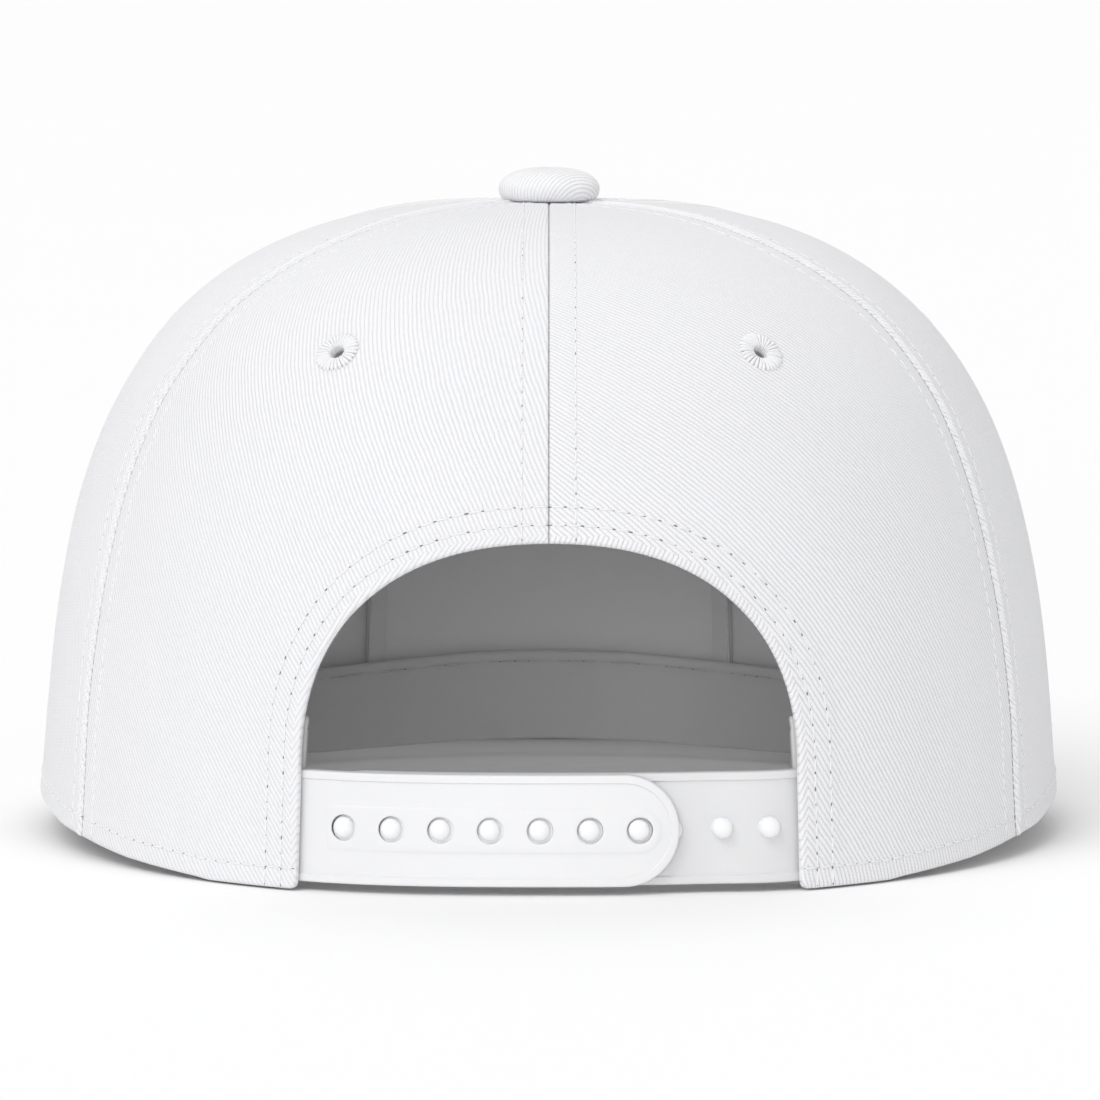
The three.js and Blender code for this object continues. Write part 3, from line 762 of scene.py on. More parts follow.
def twill(name, pitch, low, high, depth, contrast=1.0):
    """Ribs across the first weave coordinate, with the short floats of the yarn along the second.

    The colour darkens in the grooves as painted shade: more where the cloth turns away from the view, and
    less near the top.
    """
    surface = Surface(name, 0.92, Sheen_Weight=0.05, Sheen_Roughness=0.5)
    flat, u, v = surface.flat_map()
    drift = surface.between(surface.noise(flat, 0.12), -0.5, 0.5)
    fine_drift = surface.between(surface.noise(flat, 1.3), -0.14, 0.14)
    phase = surface.math("MULTIPLY_ADD", u, 1 / pitch, surface.math("ADD", drift, fine_drift))
    rib = surface.math("SINE", surface.math("MULTIPLY", phase, math.pi))
    ridge = surface.math("POWER", surface.math("ABSOLUTE", rib), 0.6)
    floats = surface.math("MULTIPLY", v, 1 / FLOAT_LENGTH)
    step = surface.math("MULTIPLY_ADD", surface.math("FLOOR", phase), 0.5, floats)
    float_end = surface.math("ABSOLUTE", surface.math("SINE", surface.math("MULTIPLY", step, math.pi)))
    deep = surface.between(float_end, 0.3, 1.3)
    groove = surface.math("MULTIPLY", surface.math("SUBTRACT", 1, ridge), deep)
    facing = surface.nodes.new("ShaderNodeLayerWeight").outputs["Facing"]
    fade_near_top = surface.span(surface.split(surface.place())[2], *RIB_FADE["height"], 1, RIB_FADE["share"])
    strength = surface.math("MULTIPLY", surface.between(facing, contrast * 0.85, contrast * 2.7), fade_near_top)
    # The grooves' painted shade, scaled about its mean: stronger where the cloth turns away, weaker near the
    # top.
    shade = surface.math("MULTIPLY_ADD", surface.math("SUBTRACT", groove, MEAN_GROOVE), strength, MEAN_GROOVE)
    fuzz = surface.noise(flat, 3.4, 3.0)
    patchy = surface.between(surface.noise(flat, 0.8, 2.0), -0.3, 0.3)
    grain = surface.math("ADD", patchy, surface.between(fuzz, -0.3, 0.3))
    mottle = surface.math("ADD", grain, surface.between(surface.noise(flat, 0.05, 3.0), -0.1, 0.1))
    surface.colour(surface.math("ADD", shade, mottle), high, low)
    ribs = surface.math("MULTIPLY", fade_near_top, surface.math("SUBTRACT", 1, groove))
    height = surface.math("MULTIPLY_ADD", fuzz, 0.3, ribs)
    surface.bump(height, depth)
    return surface.material


def plain_cloth(name, low, high, count, depth):
    """A fine plain weave over the piece's own places, for linings and bands."""
    surface = Surface(name, 0.95)
    place = surface.place()
    x, y, z = surface.split(place)
    one = surface.math("SINE", surface.math("MULTIPLY", surface.math("ADD", x, y), 2 * math.pi * count))
    two = surface.math("SINE", surface.math("MULTIPLY", z, 2 * math.pi * count))
    weave = surface.between(surface.math("MULTIPLY", one, two), 0.35, 0.65)
    fuzz = surface.noise(place, 900, 3.0)
    mottle = surface.noise(place, 38, 3.0)
    mixed = surface.math("MULTIPLY_ADD", fuzz, 0.35, surface.math("MULTIPLY", weave, 0.35))
    surface.colour(surface.math("MULTIPLY_ADD", mottle, 0.4, mixed), low, high)
    surface.bump(mixed, depth)
    return surface.material


def thread_yarn(name, low, high):
    surface = Surface(name, 0.7, Sheen_Weight=0.1, Sheen_Roughness=0.4)
    place = surface.place()
    fuzz = surface.noise(place, 2600, 2.0)
    patchy = surface.noise(place, 160, 1.0)
    surface.colour(surface.math("MULTIPLY_ADD", patchy, 0.4, surface.math("MULTIPLY", fuzz, 0.6)), low, high)
    surface.bump(fuzz, 0.05)
    return surface.material


def moulded(name, low, high):
    """Smooth white plastic with a faint orange peel."""
    surface = Surface(name, 0.38, IOR=1.49, Subsurface_Weight=0.08, Subsurface_Scale=0.002)
    place = surface.place()
    peel = surface.noise(place, 420, 2.0)
    cloud = surface.noise(place, 26, 2.0)
    surface.colour(cloud, low, high)
    worn = surface.between(surface.noise(place, 70, 3.0), 0.34, 0.46)
    surface.put(surface.shader.inputs["Roughness"], worn)
    surface.bump(peel, 0.012)
    return surface.material


def floor_finish(name, low, high):
    surface = Surface(name, 0.9)
    surface.colour(surface.noise(surface.place(), 3.0, 2.0), low, high)
    return surface.material


TWILL = twill("white_twill", WEAVE_PITCH, (0.70, 0.70, 0.735), (0.825, 0.825, 0.837), 0.09)
SHADED_TWILL = twill("shaded_twill", WEAVE_PITCH, (0.70, 0.70, 0.735), (0.83, 0.83, 0.842), 0.11, 1.4)
# The button's cover is the crown's twill made lighter, as painted light on top, with stronger painted shade
# in its grooves.
LIT_BUTTON_TWILL = twill("lit_button_twill", BUTTON_WEAVE_PITCH, (0.74, 0.74, 0.77), (0.87, 0.87, 0.88), 0.16, 2.0)
LINING = plain_cloth("white_lining", (0.80, 0.80, 0.805), (0.87, 0.87, 0.872), 2200, 0.03)
BAND = plain_cloth("band_cloth", (0.64, 0.64, 0.648), (0.73, 0.73, 0.736), 1700, 0.04)
TAPE = plain_cloth("tape_cloth", (0.72, 0.72, 0.726), (0.785, 0.785, 0.789), 1900, 0.03)
THREAD = thread_yarn("white_thread", (0.79, 0.79, 0.80), (0.88, 0.88, 0.89))
CORD = thread_yarn("cord_thread", (0.79, 0.79, 0.80), (0.87, 0.87, 0.88))
BAND_THREAD = thread_yarn("band_thread", (0.62, 0.62, 0.63), (0.74, 0.74, 0.745))
NEEDLE = thread_yarn("needle_shade", (0.12, 0.12, 0.13), (0.2, 0.2, 0.21))
SEAM_SHADE = thread_yarn("seam_shade", (0.24, 0.24, 0.25), (0.38, 0.38, 0.39))
PLASTIC = moulded("white_plastic", (0.765, 0.765, 0.777), (0.80, 0.80, 0.81))
# The inner strap is the outer strap's plastic made darker: painted shade of its recess under the outer strap.
SHADED_INNER_PLASTIC = moulded("shaded_inner_plastic", (0.70, 0.70, 0.712), (0.74, 0.74, 0.75))
# The studs and the collars in the holes are the strap's plastic made lighter: painted light.
LIT_STUD_PLASTIC = moulded("lit_stud_plastic", (0.87, 0.87, 0.875), (0.9, 0.9, 0.905))


# The crown's panels

# Where the panels' meshes have their lines, inwards from an edge
SEAM_LINES = [0, 0.05, 0.15, 0.3, 0.5, 0.75, 1.05, 1.4, 1.9, 2.6, 3.4, 3.9, 4.25, 4.55, 4.85, 5.2, 5.9, 7]
FOLD_LINES = [0, 0.04, 0.12, 0.25, 0.42, 0.7, 1.1, 1.7, 2.4, 2.9, 3.2, 3.5, 3.8]
FOLD_LINES += [4.3, 5.2, 6.1, 6.5, 6.8, 7.1, 7.5, 8.4]
PLAIN_LINES = [0, 0.5, 1.2]


def eyelet_spot(panel):
    left, right = (np.interp(math.pi / 4, s[:, 1], s[:, 0]) for s in (panel.left_seam, panel.right_seam))
    phi = (left + right) / 2
    slope = slope_at(phi, EYELET["height"])
    out = surface_normal(phi, slope)
    return seam_surface(phi, slope) + out * bulge_at(EYELET["height"]), out


def summed(values, steps):
    """The running total of values over steps, as a curve through those steps."""
    return np.concatenate([[0], np.cumsum((values[1:] + values[:-1]) / 2 * np.diff(steps))])


def weave_on(panel, flat):
    """Where each point lies across the ribs and along them, in millimetres."""
    heights, widths = np.linspace(-20, 160, 721), np.linspace(-90, 90, 721)
    plain = [WEAVE_LEAN] * len(LEAN["height"])
    lean = np.interp(heights, LEAN["height"], LEAN.get(panel.place, plain)) * DEGREE
    packed = np.interp(widths, PACKED["across"], PACKED.get(panel.place, [1, 1]))
    upward = summed(math.cos(WEAVE_LEAN * DEGREE) * np.tan(lean), heights)
    sideways = summed(math.cos(WEAVE_LEAN * DEGREE) * packed, widths)
    u, v = flat[..., 0], flat[..., 1]
    across = np.interp(u, widths, sideways) + np.interp(v, heights, upward)
    if panel.place == FAN["place"]:
        opening = summed(smoothstep(heights, FAN["low"], FAN["high"]), heights)
        across = across + FAN["turn"] * (u - FAN["about"]) * np.interp(v, heights, opening)
    along = v * math.cos(WEAVE_LEAN * DEGREE) - u * math.sin(WEAVE_LEAN * DEGREE)
    return np.stack([across, along], axis=-1)


def turned(flat, lean):
    """Weave coordinates of cloth whose ribs lean by one angle."""
    c, s = math.cos(lean * DEGREE), math.sin(lean * DEGREE)
    return np.stack([flat[..., 0] * c + flat[..., 1] * s, flat[..., 1] * c - flat[..., 0] * s], axis=-1)


def panel_weave(panel, flat, faces):
    """Weave coordinates for each corner of each face. Cloth folded round an edge shows other ribs."""
    weave = weave_on(panel, flat)[faces]
    middles = flat[faces].mean(axis=1)
    phi, slope = panel.from_map(middles)
    place = seam_surface(phi, slope)
    if panel.rear:
        folded = nearest(place, panel.solid["arch"])[0] < FOLDED["arch"]
        weave[folded] = turned(flat, -WEAVE_LEAN)[faces][folded]
    low = nearest(place, panel.solid["hem"])[0] < FOLDED["hem"]
    weave[low] = turned(flat, HEM_WEAVE["right" if panel.hand > 0 else "left"])[faces][low]
    return weave.reshape(-1, 2)


def build_panel(panel):
    if panel.rear:
        grid = fitted_grid(panel.patch_curves, SEAM_LINES, FOLD_LINES, 104, FOLD_LINES, SEAM_LINES, 56)
    else:
        grid = fitted_grid(panel.patch_curves, SEAM_LINES, SEAM_LINES, 44, FOLD_LINES, PLAIN_LINES, 104)
    outer, inner, _ = panel.faces(grid)
    if panel.rear:
        outer, inner = (sheet + panel.foot_rounding(grid) for sheet in (outer, inner))
    centre, _ = eyelet_spot(panel)
    near = np.linalg.norm(outer - centre, axis=-1) < EYELET["radius"] - 0.8
    keep = ~(near[:-1, :-1] & near[1:, :-1] & near[1:, 1:] & near[:-1, 1:])
    places, faces, sides, source = closed_sheet(outer, inner, keep)
    flat = grid.reshape(-1, 2)[source]
    make_piece(
        "panel_cloth_" + panel.place,
        places,
        faces,
        [SHADED_TWILL if panel.hand > 0 else TWILL, LINING],
        "twill",
        ["panel_" + panel.place],
        panel_weave(panel, flat, faces),
        (sides == 1).astype(int),
    )


def stitches(places, normals, pitch=STITCH["pitch"], radius=STITCH["radius"], rise=STITCH["rise"]):
    """Stitches along a line of close places, as tubes, and the needle's holes between them."""
    along = lengths_along(places)
    count = max(int(round(along[-1] / pitch)), 1)
    step = along[-1] / count
    shares = np.array([0, 0.12, 0.5, 0.88, 1])
    lifts = np.array([-0.2, 0.45 * rise, rise, 0.45 * rise, -0.2])
    starts = np.arange(count) * step + STITCH["gap"] / 2 + RANDOM.uniform(-0.12, 0.12, count)
    at = starts[:, None] + shares * (step - STITCH["gap"])
    spots = sampled(places, along, at)
    out = unit(sampled(normals, along, at))
    aside = unit(np.cross(np.gradient(spots, axis=1), out))
    skew = RANDOM.uniform(-0.05, 0.09, count)[:, None] * (shares - 0.5)
    centres = spots + out * lifts[:, None] + aside * skew[..., None] * 2
    body = tubes(centres, out, radius * np.array([0.7, 0.95, 1, 0.95, 0.7]))
    holes = np.concatenate([at[:, 0] - STITCH["gap"] / 2, [along[-1]]])
    run = unit(sampled(np.gradient(places, axis=0), along, holes))
    return body, (sampled(places, along, holes), unit(sampled(normals, along, holes)), run)


def needle_holes(spots, out, run, radius):
    """Small dimples, dark with painted shade, drawn out along the row."""
    shares = np.array([-1.3, -0.6, 0.6, 1.3])
    size = radius * RANDOM.uniform(0.45, 1.15, len(spots))
    drawn = size * RANDOM.uniform(1.2, 2.9, len(spots))
    centres = spots[:, None] + run[:, None] * shares[:, None] * drawn[:, None, None]
    centres = centres + out[:, None] * 0.01
    flat = np.broadcast_to(out[:, None], centres.shape)
    return tubes(centres, flat, size[:, None] * np.array([0.25, 0.8, 0.8, 0.25]))


def build_rows(panel):
    """The stitch rows of a panel, on its outer side."""
    threads, holes = [], []
    for name, kind in panel.kinds.items():
        margins = {"left": 0.1, "right": 0.1, "hem": 0.4, "arch": 0.5}
        if name == "hem" and not panel.rear:
            margins = {"left": 0.1, "right": 0.1}
        for distance in kind["rows"]:
            line = panel.row(name, distance, margins)
            if len(line) < 8:
                continue
            line = resample(line, 700)
            outer, _, out = panel.faces(line)
            kind_name = panel.kind_names[name]
            flush = FLUSH_STITCH.get(kind_name)
            sewn = stitches(outer, out, radius=flush, rise=FLUSH_RISE) if flush else stitches(outer, out)
            threads.append(sewn[0])
            holes.append(needle_holes(*sewn[1], NEEDLE_HOLES[kind_name]))
    make_piece("stitches_" + panel.place, *joined(threads), [THREAD], "thread")
    make_piece("needle_holes_" + panel.place, *joined(holes), [NEEDLE], "thread")


def build_cords(panel):
    """The corded rear edge of a side panel: fine strands that slant along the seam's ridge."""
    name, inwards = ("left", 1) if panel.hand > 0 else ("right", -1)
    edge = resample(panel.curves[name], 900)
    _, slope = panel.from_map(edge)
    edge = edge[radius_on_map(slope) > BUTTON["radius"]]
    length = lengths_along(edge)[-1]
    reach = STRAND["climb"][1]
    start = np.arange(reach, length - reach, STRAND["pitch"])
    start = start + RANDOM.uniform(-0.08, 0.08, len(start))
    shares = np.linspace(0, 1, len(STRAND_SHAPE["sunk"]))
    climb = np.interp(start, [0, length], STRAND["climb"])
    at = (start[:, None] + climb[:, None] * (0.5 - shares)) / length
    base = on_curve(edge, at)
    run = unit(on_curve(edge, at + 0.002) - on_curve(edge, at - 0.002))
    aside = np.stack([run[..., 1], -run[..., 0]], axis=-1) * inwards
    outer, _, out = panel.faces(base + aside * (RIDGE_AT + (shares - 0.5) * STRAND["across"])[:, None])
    centres = outer - out * np.array(STRAND_SHAPE["sunk"])[:, None]
    body = tubes(centres, out, STRAND["radius"] * np.array(STRAND_SHAPE["taper"]))
    make_piece("seam_cord_" + panel.place, *body, [CORD], "thread")


def build_seam_lines():
    """The shaded valley where two panels meet, as short dark lengths sunk in it."""
    parts = []
    for panel in PANELS:
        seam = panel.left_seam if panel.place != "rear_right" else panel.centre_line
        solid = resample(seam_surface(seam[:, 0], seam[:, 1]), 1200)
        solid = solid[np.hypot(solid[:, 0], solid[:, 1]) > BUTTON["radius"] - 1]
        phi = np.arctan2(solid[:, 0], -solid[:, 1])
        out = surface_normal(phi, slope_at(phi, solid[:, 2]))
        sunk = SEAM_LINE["sunk"]["centre" if panel.kind_names["left"] == "centre" else "side"]
        line = solid + out * (wobble(solid) - sunk)[:, None]
        length = lengths_along(line)[-1]
        step = SEAM_LINE["dash"] + SEAM_LINE["gap"]
        starts = np.arange(int(length / step)) * step
        at = (starts[:, None] + np.linspace(0, SEAM_LINE["dash"], 4)) / length
        size = SEAM_LINE["radius"] * RANDOM.uniform(0.75, 1.1, len(starts))
        radii = size[:, None] * np.array([0.5, 1, 1, 0.5])
        parts.append(tubes(on_curve(line, at), unit(on_curve(out, at)), radii))
    make_piece("seam_lines", *joined(parts), [SEAM_SHADE], "thread")


def build_eyelet(panel):
    """Satin stitches round a bore, over a ring that joins them."""
    centre, out = eyelet_spot(panel)
    level, up = frame_at(out)
    count = SATIN["count"]
    reach, rise, uneven, taper = (np.array(SATIN[k]) for k in ("reach", "rise", "uneven", "taper"))
    proud = SATIN["rear" if panel.rear else "others"]
    rise = rise * proud["height"] + proud["lift"]
    parts = []
    bore, rim = EYELET["bore"], EYELET["radius"]
    ring = [
        [bore + 0.05, -PANEL_THICK - 0.3], [rim - 0.5, -PANEL_THICK - 0.3], [rim - 0.2, -PANEL_THICK],
        [rim - 0.2, -0.3], [rim - 0.7, -0.1], [2.6, 0], [bore + 0.4, 0], [bore + 0.05, -0.25],
    ]
    parts.append(lathe(ring, 48, centre, out))
    for side, base in ((1, 0.0), (-1, -PANEL_THICK)):
        turn = np.arange(count) * 2 * math.pi / count + RANDOM.uniform(-0.02, 0.02, count)
        longer = RANDOM.uniform(-0.07, 0.09, count)[:, None] * uneven
        radius_out = reach + longer
        around = np.cos(turn)[:, None] * level + np.sin(turn)[:, None] * up
        swirl = np.cos(turn + 0.06)[:, None] * level + np.sin(turn + 0.06)[:, None] * up
        lean = np.linspace(0, 1, len(reach))[:, None]
        ways = unit(around[:, None] * (1 - lean) + swirl[:, None] * lean)
        centres = centre + ways * radius_out[..., None] + out * (base + side * rise)[:, None]
        normals = np.broadcast_to(out * side, centres.shape)
        parts.append(tubes(centres, normals, 0.107 * reach * taper))
    make_piece("eyelet_thread_" + panel.place, *joined(parts), [THREAD], "thread", ["eyelet_" + panel.place])


def button_profile():
    """Rows of radius and height for the rivet and post, and for the cover from its foot to its top."""
    radius, bulk = BUTTON["radius"], BUTTON["bulk"]
    inside_at = -PANEL_THICK - 2 * GAP
    stem = [
        [0, inside_at - BUTTON["rivet_thick"]], [BUTTON["rivet"] - 0.3, inside_at - BUTTON["rivet_thick"]],
        [BUTTON["rivet"], inside_at - BUTTON["rivet_thick"] + 0.3], [BUTTON["rivet"], inside_at],
        [BUTTON["post"], inside_at], [BUTTON["post"], 0],
    ]
    waist = BUTTON_WAIST * bulk
    low_turn = np.linspace(-75, 0, 12)[:-1] * DEGREE
    high_turn = np.linspace(0, 90, 40) * DEGREE
    low = [[radius * (0.82 + 0.18 * math.cos(a) ** 0.8), waist * (1 + math.sin(a))] for a in low_turn]
    crown = bulk - waist
    high = [[radius * max(math.cos(a), 0) ** 0.72, waist + crown * math.sin(a) ** 1.06] for a in high_turn]
    high[-1][0] = 0
    return stem, [[radius * BUTTON_FOOT["share"], -BUTTON_FOOT["sunk"]]] + low + high


def build_button():
    """A cloth-covered button with its post and rivet; the ribs of its cover are drawn over the dome."""
    stem, cover = button_profile()
    profile = stem + cover
    seat = np.array([0, 0, CROWN_HEIGHT + GAP])
    segments = 220
    places, faces = lathe(profile, segments, seat, np.array([0, 0, 1.0]))
    from_top = lengths_along(np.array(cover)[::-1])[::-1]
    lengths = np.concatenate([np.full(len(stem), from_top[0]), from_top])
    counts = [1 if row[0] < 1e-9 else segments for row in profile]
    turn = np.arange(segments) * 2 * math.pi / segments
    ring = np.stack([np.cos(turn), np.sin(turn)], axis=-1)
    rows = [length * ring if count > 1 else np.zeros((1, 2)) for count, length in zip(counts, lengths)]
    unrolled = np.concatenate(rows)
    lean = -40 * DEGREE
    drift = 0.5 * np.sin(unrolled[:, 0] / 3.1) + 0.22 * np.sin(unrolled[:, 1] / 1.7 + 1)
    phase = (unrolled @ [math.cos(lean), math.sin(lean)] + drift) / BUTTON_WEAVE_PITCH
    ribs = 0.07 * np.abs(np.sin(math.pi * phase)) ** 0.6
    covered = np.repeat(lengths < from_top[0] - 1e-6, counts)
    middle = seat + [0, 0, BUTTON_WAIST * BUTTON["bulk"]]
    places = places + unit(places - middle) * (ribs * covered)[:, None]
    weave = np.stack([phase * BUTTON_WEAVE_PITCH, unrolled @ [-math.sin(lean), math.cos(lean)]], axis=-1)
    uv = np.concatenate([weave[face] for face in faces])
    make_piece("button_cover", places, faces, [LIT_BUTTON_TWILL], "twill", ["button"], uv)


# The brim

BRIM_ROWS = [5.5, 12.5, 19.5, 26.5, 33.5, 40.5]
BRIM_GROOVE = {"depth": 0.16, "width": 0.8}
BRIM_LINES = [0, 0.06, 0.2, 0.42, 0.75, 1.1, 1.5, 2.2, 3.2]


def brim_root(u):
    phi = (-BRIM_CORNER + u * (2 * BRIM_CORNER - 360)) * DEGREE
    return at_depth(phi, BRIM["thick"], BRIM_TUCK)[..., :2]


def brim_faces(flat):
    """Top and bottom of the brim over points in plan."""
    curve = np.column_stack([BRIM_RIM, np.zeros(len(BRIM_RIM))])
    gap, _ = nearest(np.concatenate([flat, np.zeros(flat.shape[:-1] + (1,))], axis=-1), curve)
    roll = rolled(gap, BRIM["thick"] / 2, BRIM["thick"] / 2 - 0.06)
    relief = 0.12 * (1 - smoothstep(gap, 2.2, 3.4))
    for row in BRIM_ROWS:
        relief = relief - BRIM_GROOVE["depth"] * np.exp(-(((gap - row) / BRIM_GROOVE["width"]) ** 2))
    level = BRIM_LIFT + brim_bottom(flat[..., 0], flat[..., 1])
    upper = level + BRIM["thick"] + np.maximum(relief, -0.3) - roll
    lower = level - np.minimum(relief, 0) + roll
    return tuple(np.concatenate([flat, side[..., None]], axis=-1) for side in (upper, lower))


def build_brim():
    columns, count = 240, 64
    u = np.linspace(0, 1, columns + 1)
    near, far = brim_root(u), brim_edge(u)
    lines = []
    for a, b in zip(near, far):
        share = spread(np.linalg.norm(b - a), [0, 1.5], BRIM_LINES, count)
        lines.append(a + (b - a) * share[:, None])
    flat = np.array(lines)
    top, bottom = brim_faces(flat)
    places, faces, _, source = closed_sheet(top, bottom)
    uv = flat.reshape(-1, 2)[source][faces].reshape(-1, 2)
    make_piece("brim_cover", places, faces, [TWILL], "twill", ["brim"], uv)
    threads, holes = [], []
    edge = resample(BRIM_RIM, 1600)
    run = unit(np.gradient(edge, axis=0))
    aside = np.stack([run[:, 1], -run[:, 0]], axis=-1)
    aside = aside * np.sign(((np.array([0, BRIM["centre"]]) - edge) * aside).sum(1))[:, None]
    for row in BRIM_ROWS:
        line = edge + aside * row
        crown = (line[:, 0] / (HALF_WIDTH + FLARE)) ** 2 + (line[:, 1] / (HALF_LENGTH + FLARE)) ** 2
        line = resample(line[(crown > 1.02) & (line[:, 1] > 0)], 900)
        top, bottom = brim_faces(line)
        for side, places in ((1, top), (-1, bottom)):
            out = np.tile([0.0, 0, side], (len(line), 1))
            body, spots = stitches(places, out, pitch=BRIM_STITCH_PITCH)
            threads.append(body)
            holes.append(needle_holes(*spots, NEEDLE_HOLES["brim"]))
    make_piece("stitches_brim", *joined(threads), [THREAD], "thread")
    make_piece("needle_holes_brim", *joined(holes), [NEEDLE], "thread")


# Bands inside

def build_sweatband():
    """The folded band inside the hem, puckered along the stitches under its top edge."""
    start = SWEATBAND["angle"][0] + BAND_SHORT
    phi = np.linspace(start, 360 - start, 521) * DEGREE
    angle = folded_angle(phi)
    edges = (np.interp(angle, SWEATBAND["angle"], SWEATBAND[k]) for k in ("bottom", "top"))
    low, high = (SWEATBAND_TOP * edge for edge in edges)
    near_top = np.linspace(0.87, 0.97, 9)
    shares = np.concatenate([[0, 0.008, 0.025, 0.06], np.linspace(0.1, 0.84, 10), near_top, [0.985, 1]])
    z = low[:, None] + (high - low)[:, None] * shares
    below = (high - low)[:, None] * (1 - shares)
    length = phi[:, None] * 88
    ruck = 0.14 * np.sin(length / 1.9 + 0.8 * np.sin(length / 7)) * np.exp(-((below - BAND_ROW) / 1.2) ** 2)
    groove = 0.22 * np.exp(-((below - BAND_ROW) / 0.45) ** 2)
    ends = np.minimum(below, (high - low)[:, None] - below)
    roll = rolled(ends, SWEATBAND_THICK / 2, SWEATBAND_THICK / 2 - 0.06)
    outer = at_depth(phi[:, None], z, SWEATBAND_DEPTH + roll)
    inner = at_depth(phi[:, None], z, SWEATBAND_DEPTH + SWEATBAND_THICK - roll - groove + ruck)
    make_piece("sweatband_cloth", *closed_sheet(outer, inner)[:2], [BAND], "lining", ["sweatband"])
    turn = phi[0] + (phi[-1] - phi[0]) * np.linspace(0, 1, 1500)
    row_z = np.interp(turn, phi, high - BAND_ROW)
    row = at_depth(turn, row_z, SWEATBAND_DEPTH + SWEATBAND_THICK - 0.2)
    body, holes = stitches(row, -surface_normal(turn, slope_at(turn, row_z)))
    make_piece("stitches_sweatband", *body, [BAND_THREAD], "thread")
    make_piece("needle_holes_sweatband", *needle_holes(*holes, NEEDLE_HOLES["band"]), [NEEDLE], "thread")


def front_patch(name, start, end, depth, thick, material, node):
    """A patch that lies flat inside the crown's front."""
    across, up = np.linspace(0, 1, 41), np.linspace(0, 1, 61)
    phi = (start + (end - start) * across)[:, None] * DEGREE
    low, high = slope_at(phi, STIFFENER["bottom"]), slope_at(phi, STIFFENER["top"])
    slope = low + (high - low) * up
    place, out = seam_surface(phi, slope), surface_normal(phi, slope)
    outer = place - out * depth
    inner = place - out * (depth + thick)
    for sheet in (outer, inner):
        sheet[:, 0, 2] = STIFFENER["bottom"]
    make_piece(name, *closed_sheet(outer, inner)[:2], [material], "lining", [node])


def build_front_inside():
    """The stiffener, and the stitched tapes on its upright edges."""
    angle = STIFFENER["angle"]
    front_patch(
        "stiffener_cloth", angle, 360 - angle, SLOT_DEPTH, STIFFENER_THICK, LINING, "front_stiffener"
    )
    rows = []
    for side, start in (("right", angle), ("left", 360 - angle - TAPE_WIDTH)):
        end = start + TAPE_WIDTH
        node = "stiffener_tape_" + side
        front_patch("tape_cloth_" + side, start, end, TAPE_DEPTH, TAPE_THICK, TAPE, node)
        row = start + TAPE_ROW if side == "right" else end - TAPE_ROW
        z = np.linspace(STIFFENER["bottom"] + 1, STIFFENER["top"] - 1, 400)
        phi = np.full_like(z, row * DEGREE)
        slope = slope_at(phi, z)
        out = -surface_normal(phi, slope)
        rows.append(stitches(seam_surface(phi, slope) + out * (TAPE_DEPTH + TAPE_THICK), out)[0])
    make_piece("stitches_tapes", *joined(rows), [THREAD], "thread")


# The snap strap

def strap_place(x, z, depth, inner):
    x, z, depth = np.broadcast_arrays(np.asarray(x, float), z, depth)
    quarter = math.pi / 2
    width = seam_surface(quarter, slope_at(quarter, z))[..., 0] - depth
    place = at_depth(np.arcsin(x / width), z, depth)
    across = np.minimum(np.abs(x) / OPENING["half"], 1)
    place[..., 1] += DRAWN_IN * (1 - across**2) ** 2
    if inner:
        place[..., 1] += LAP * (1 - smoothstep(x, LAP_TO, LAP_FROM))
    return place


STRAP_MIDDLE = (STRAP["bottom"] + STRAP["top"]) / 2
STRAP_HALF = (STRAP["top"] - STRAP["bottom"]) / 2
ACROSS = np.linspace(-TUCK_END - 1, TUCK_END + 1, 1101)
STRAP_LINE = strap_place(ACROSS, STRAP_MIDDLE, STRAP_FACE, False)
ALONG = lengths_along(STRAP_LINE)
ALONG = ALONG - np.interp(0, ACROSS, ALONG)
SNUG = np.array([-0.14, 0.13])
COLLAR = {"clear": 0.04, "below": [0.75, 1.15], "rise": 0.02}
# How much of the source's shank and dome a stud shows, with its foot sunk in the strap
SEATED_STUD = {"shank": 1, "dome": 1.35}
FREE_STUD = {"shank": 0.5, "dome": 1.3}
STUD_SINK = 0.5
NUB_SHANK = 0.35
# Where the strap's mesh follows its rim and its plateau, inwards from their edges, and a hole, by radius
RIM_LINES = (0, 0.05, 0.18, 0.38, 0.7, 1.05, 1.3, 1.41, 1.52, 1.8)
PLATEAU_LINES = (-0.18, -0.06, 0.06, 0.18)
HOLE_LINES = (HOLE["radius"], 2.3, 2.4, 2.55, 2.8)
PLATEAU = {"half": 3.8, "start": -39.0, "end_margin": 3.7, "rise": 0.13}


def across_at(length):
    return np.interp(length, ALONG, ACROSS)


def length_at(x):
    return np.interp(x, ACROSS, ALONG)


def hole_length(k):
    return HOLE["first"] + k * HOLE["pitch"]


def stadium(points, start, end, half):
    """How far each flat point is inside a bar, which runs from a square start to a round end."""
    towards = np.sign(end - start)
    centre = end - towards * half
    past = np.maximum((points[..., 0] - centre) * towards, 0)
    round_end = half - np.hypot(past, points[..., 1] - STRAP_MIDDLE)
    return np.minimum(round_end, (points[..., 0] - start) * towards)


def stadium_loop(start, end, half, step=1.1):
    """The outline of such a bar as flat points, its square end first."""
    towards = np.sign(end - start)
    centre = end - towards * half
    straight = np.linspace(start, centre, max(int(abs(centre - start) / step), 2))
    turn = np.linspace(-math.pi / 2, math.pi / 2, max(int(math.pi * half / 0.7), 12))
    tip = np.stack([centre + towards * half * np.cos(turn), STRAP_MIDDLE + half * np.sin(turn)], axis=-1)
    below = np.stack([straight, np.full(len(straight), STRAP_MIDDLE - half)], axis=-1)
    above = np.stack([straight[::-1], np.full(len(straight), STRAP_MIDDLE + half)], axis=-1)
    return np.concatenate([below[:-1], tip, above[1:]])


def from_hole(points, hole):
    return np.hypot(points[:, 0] - hole, points[:, 1] - STRAP_MIDDLE)


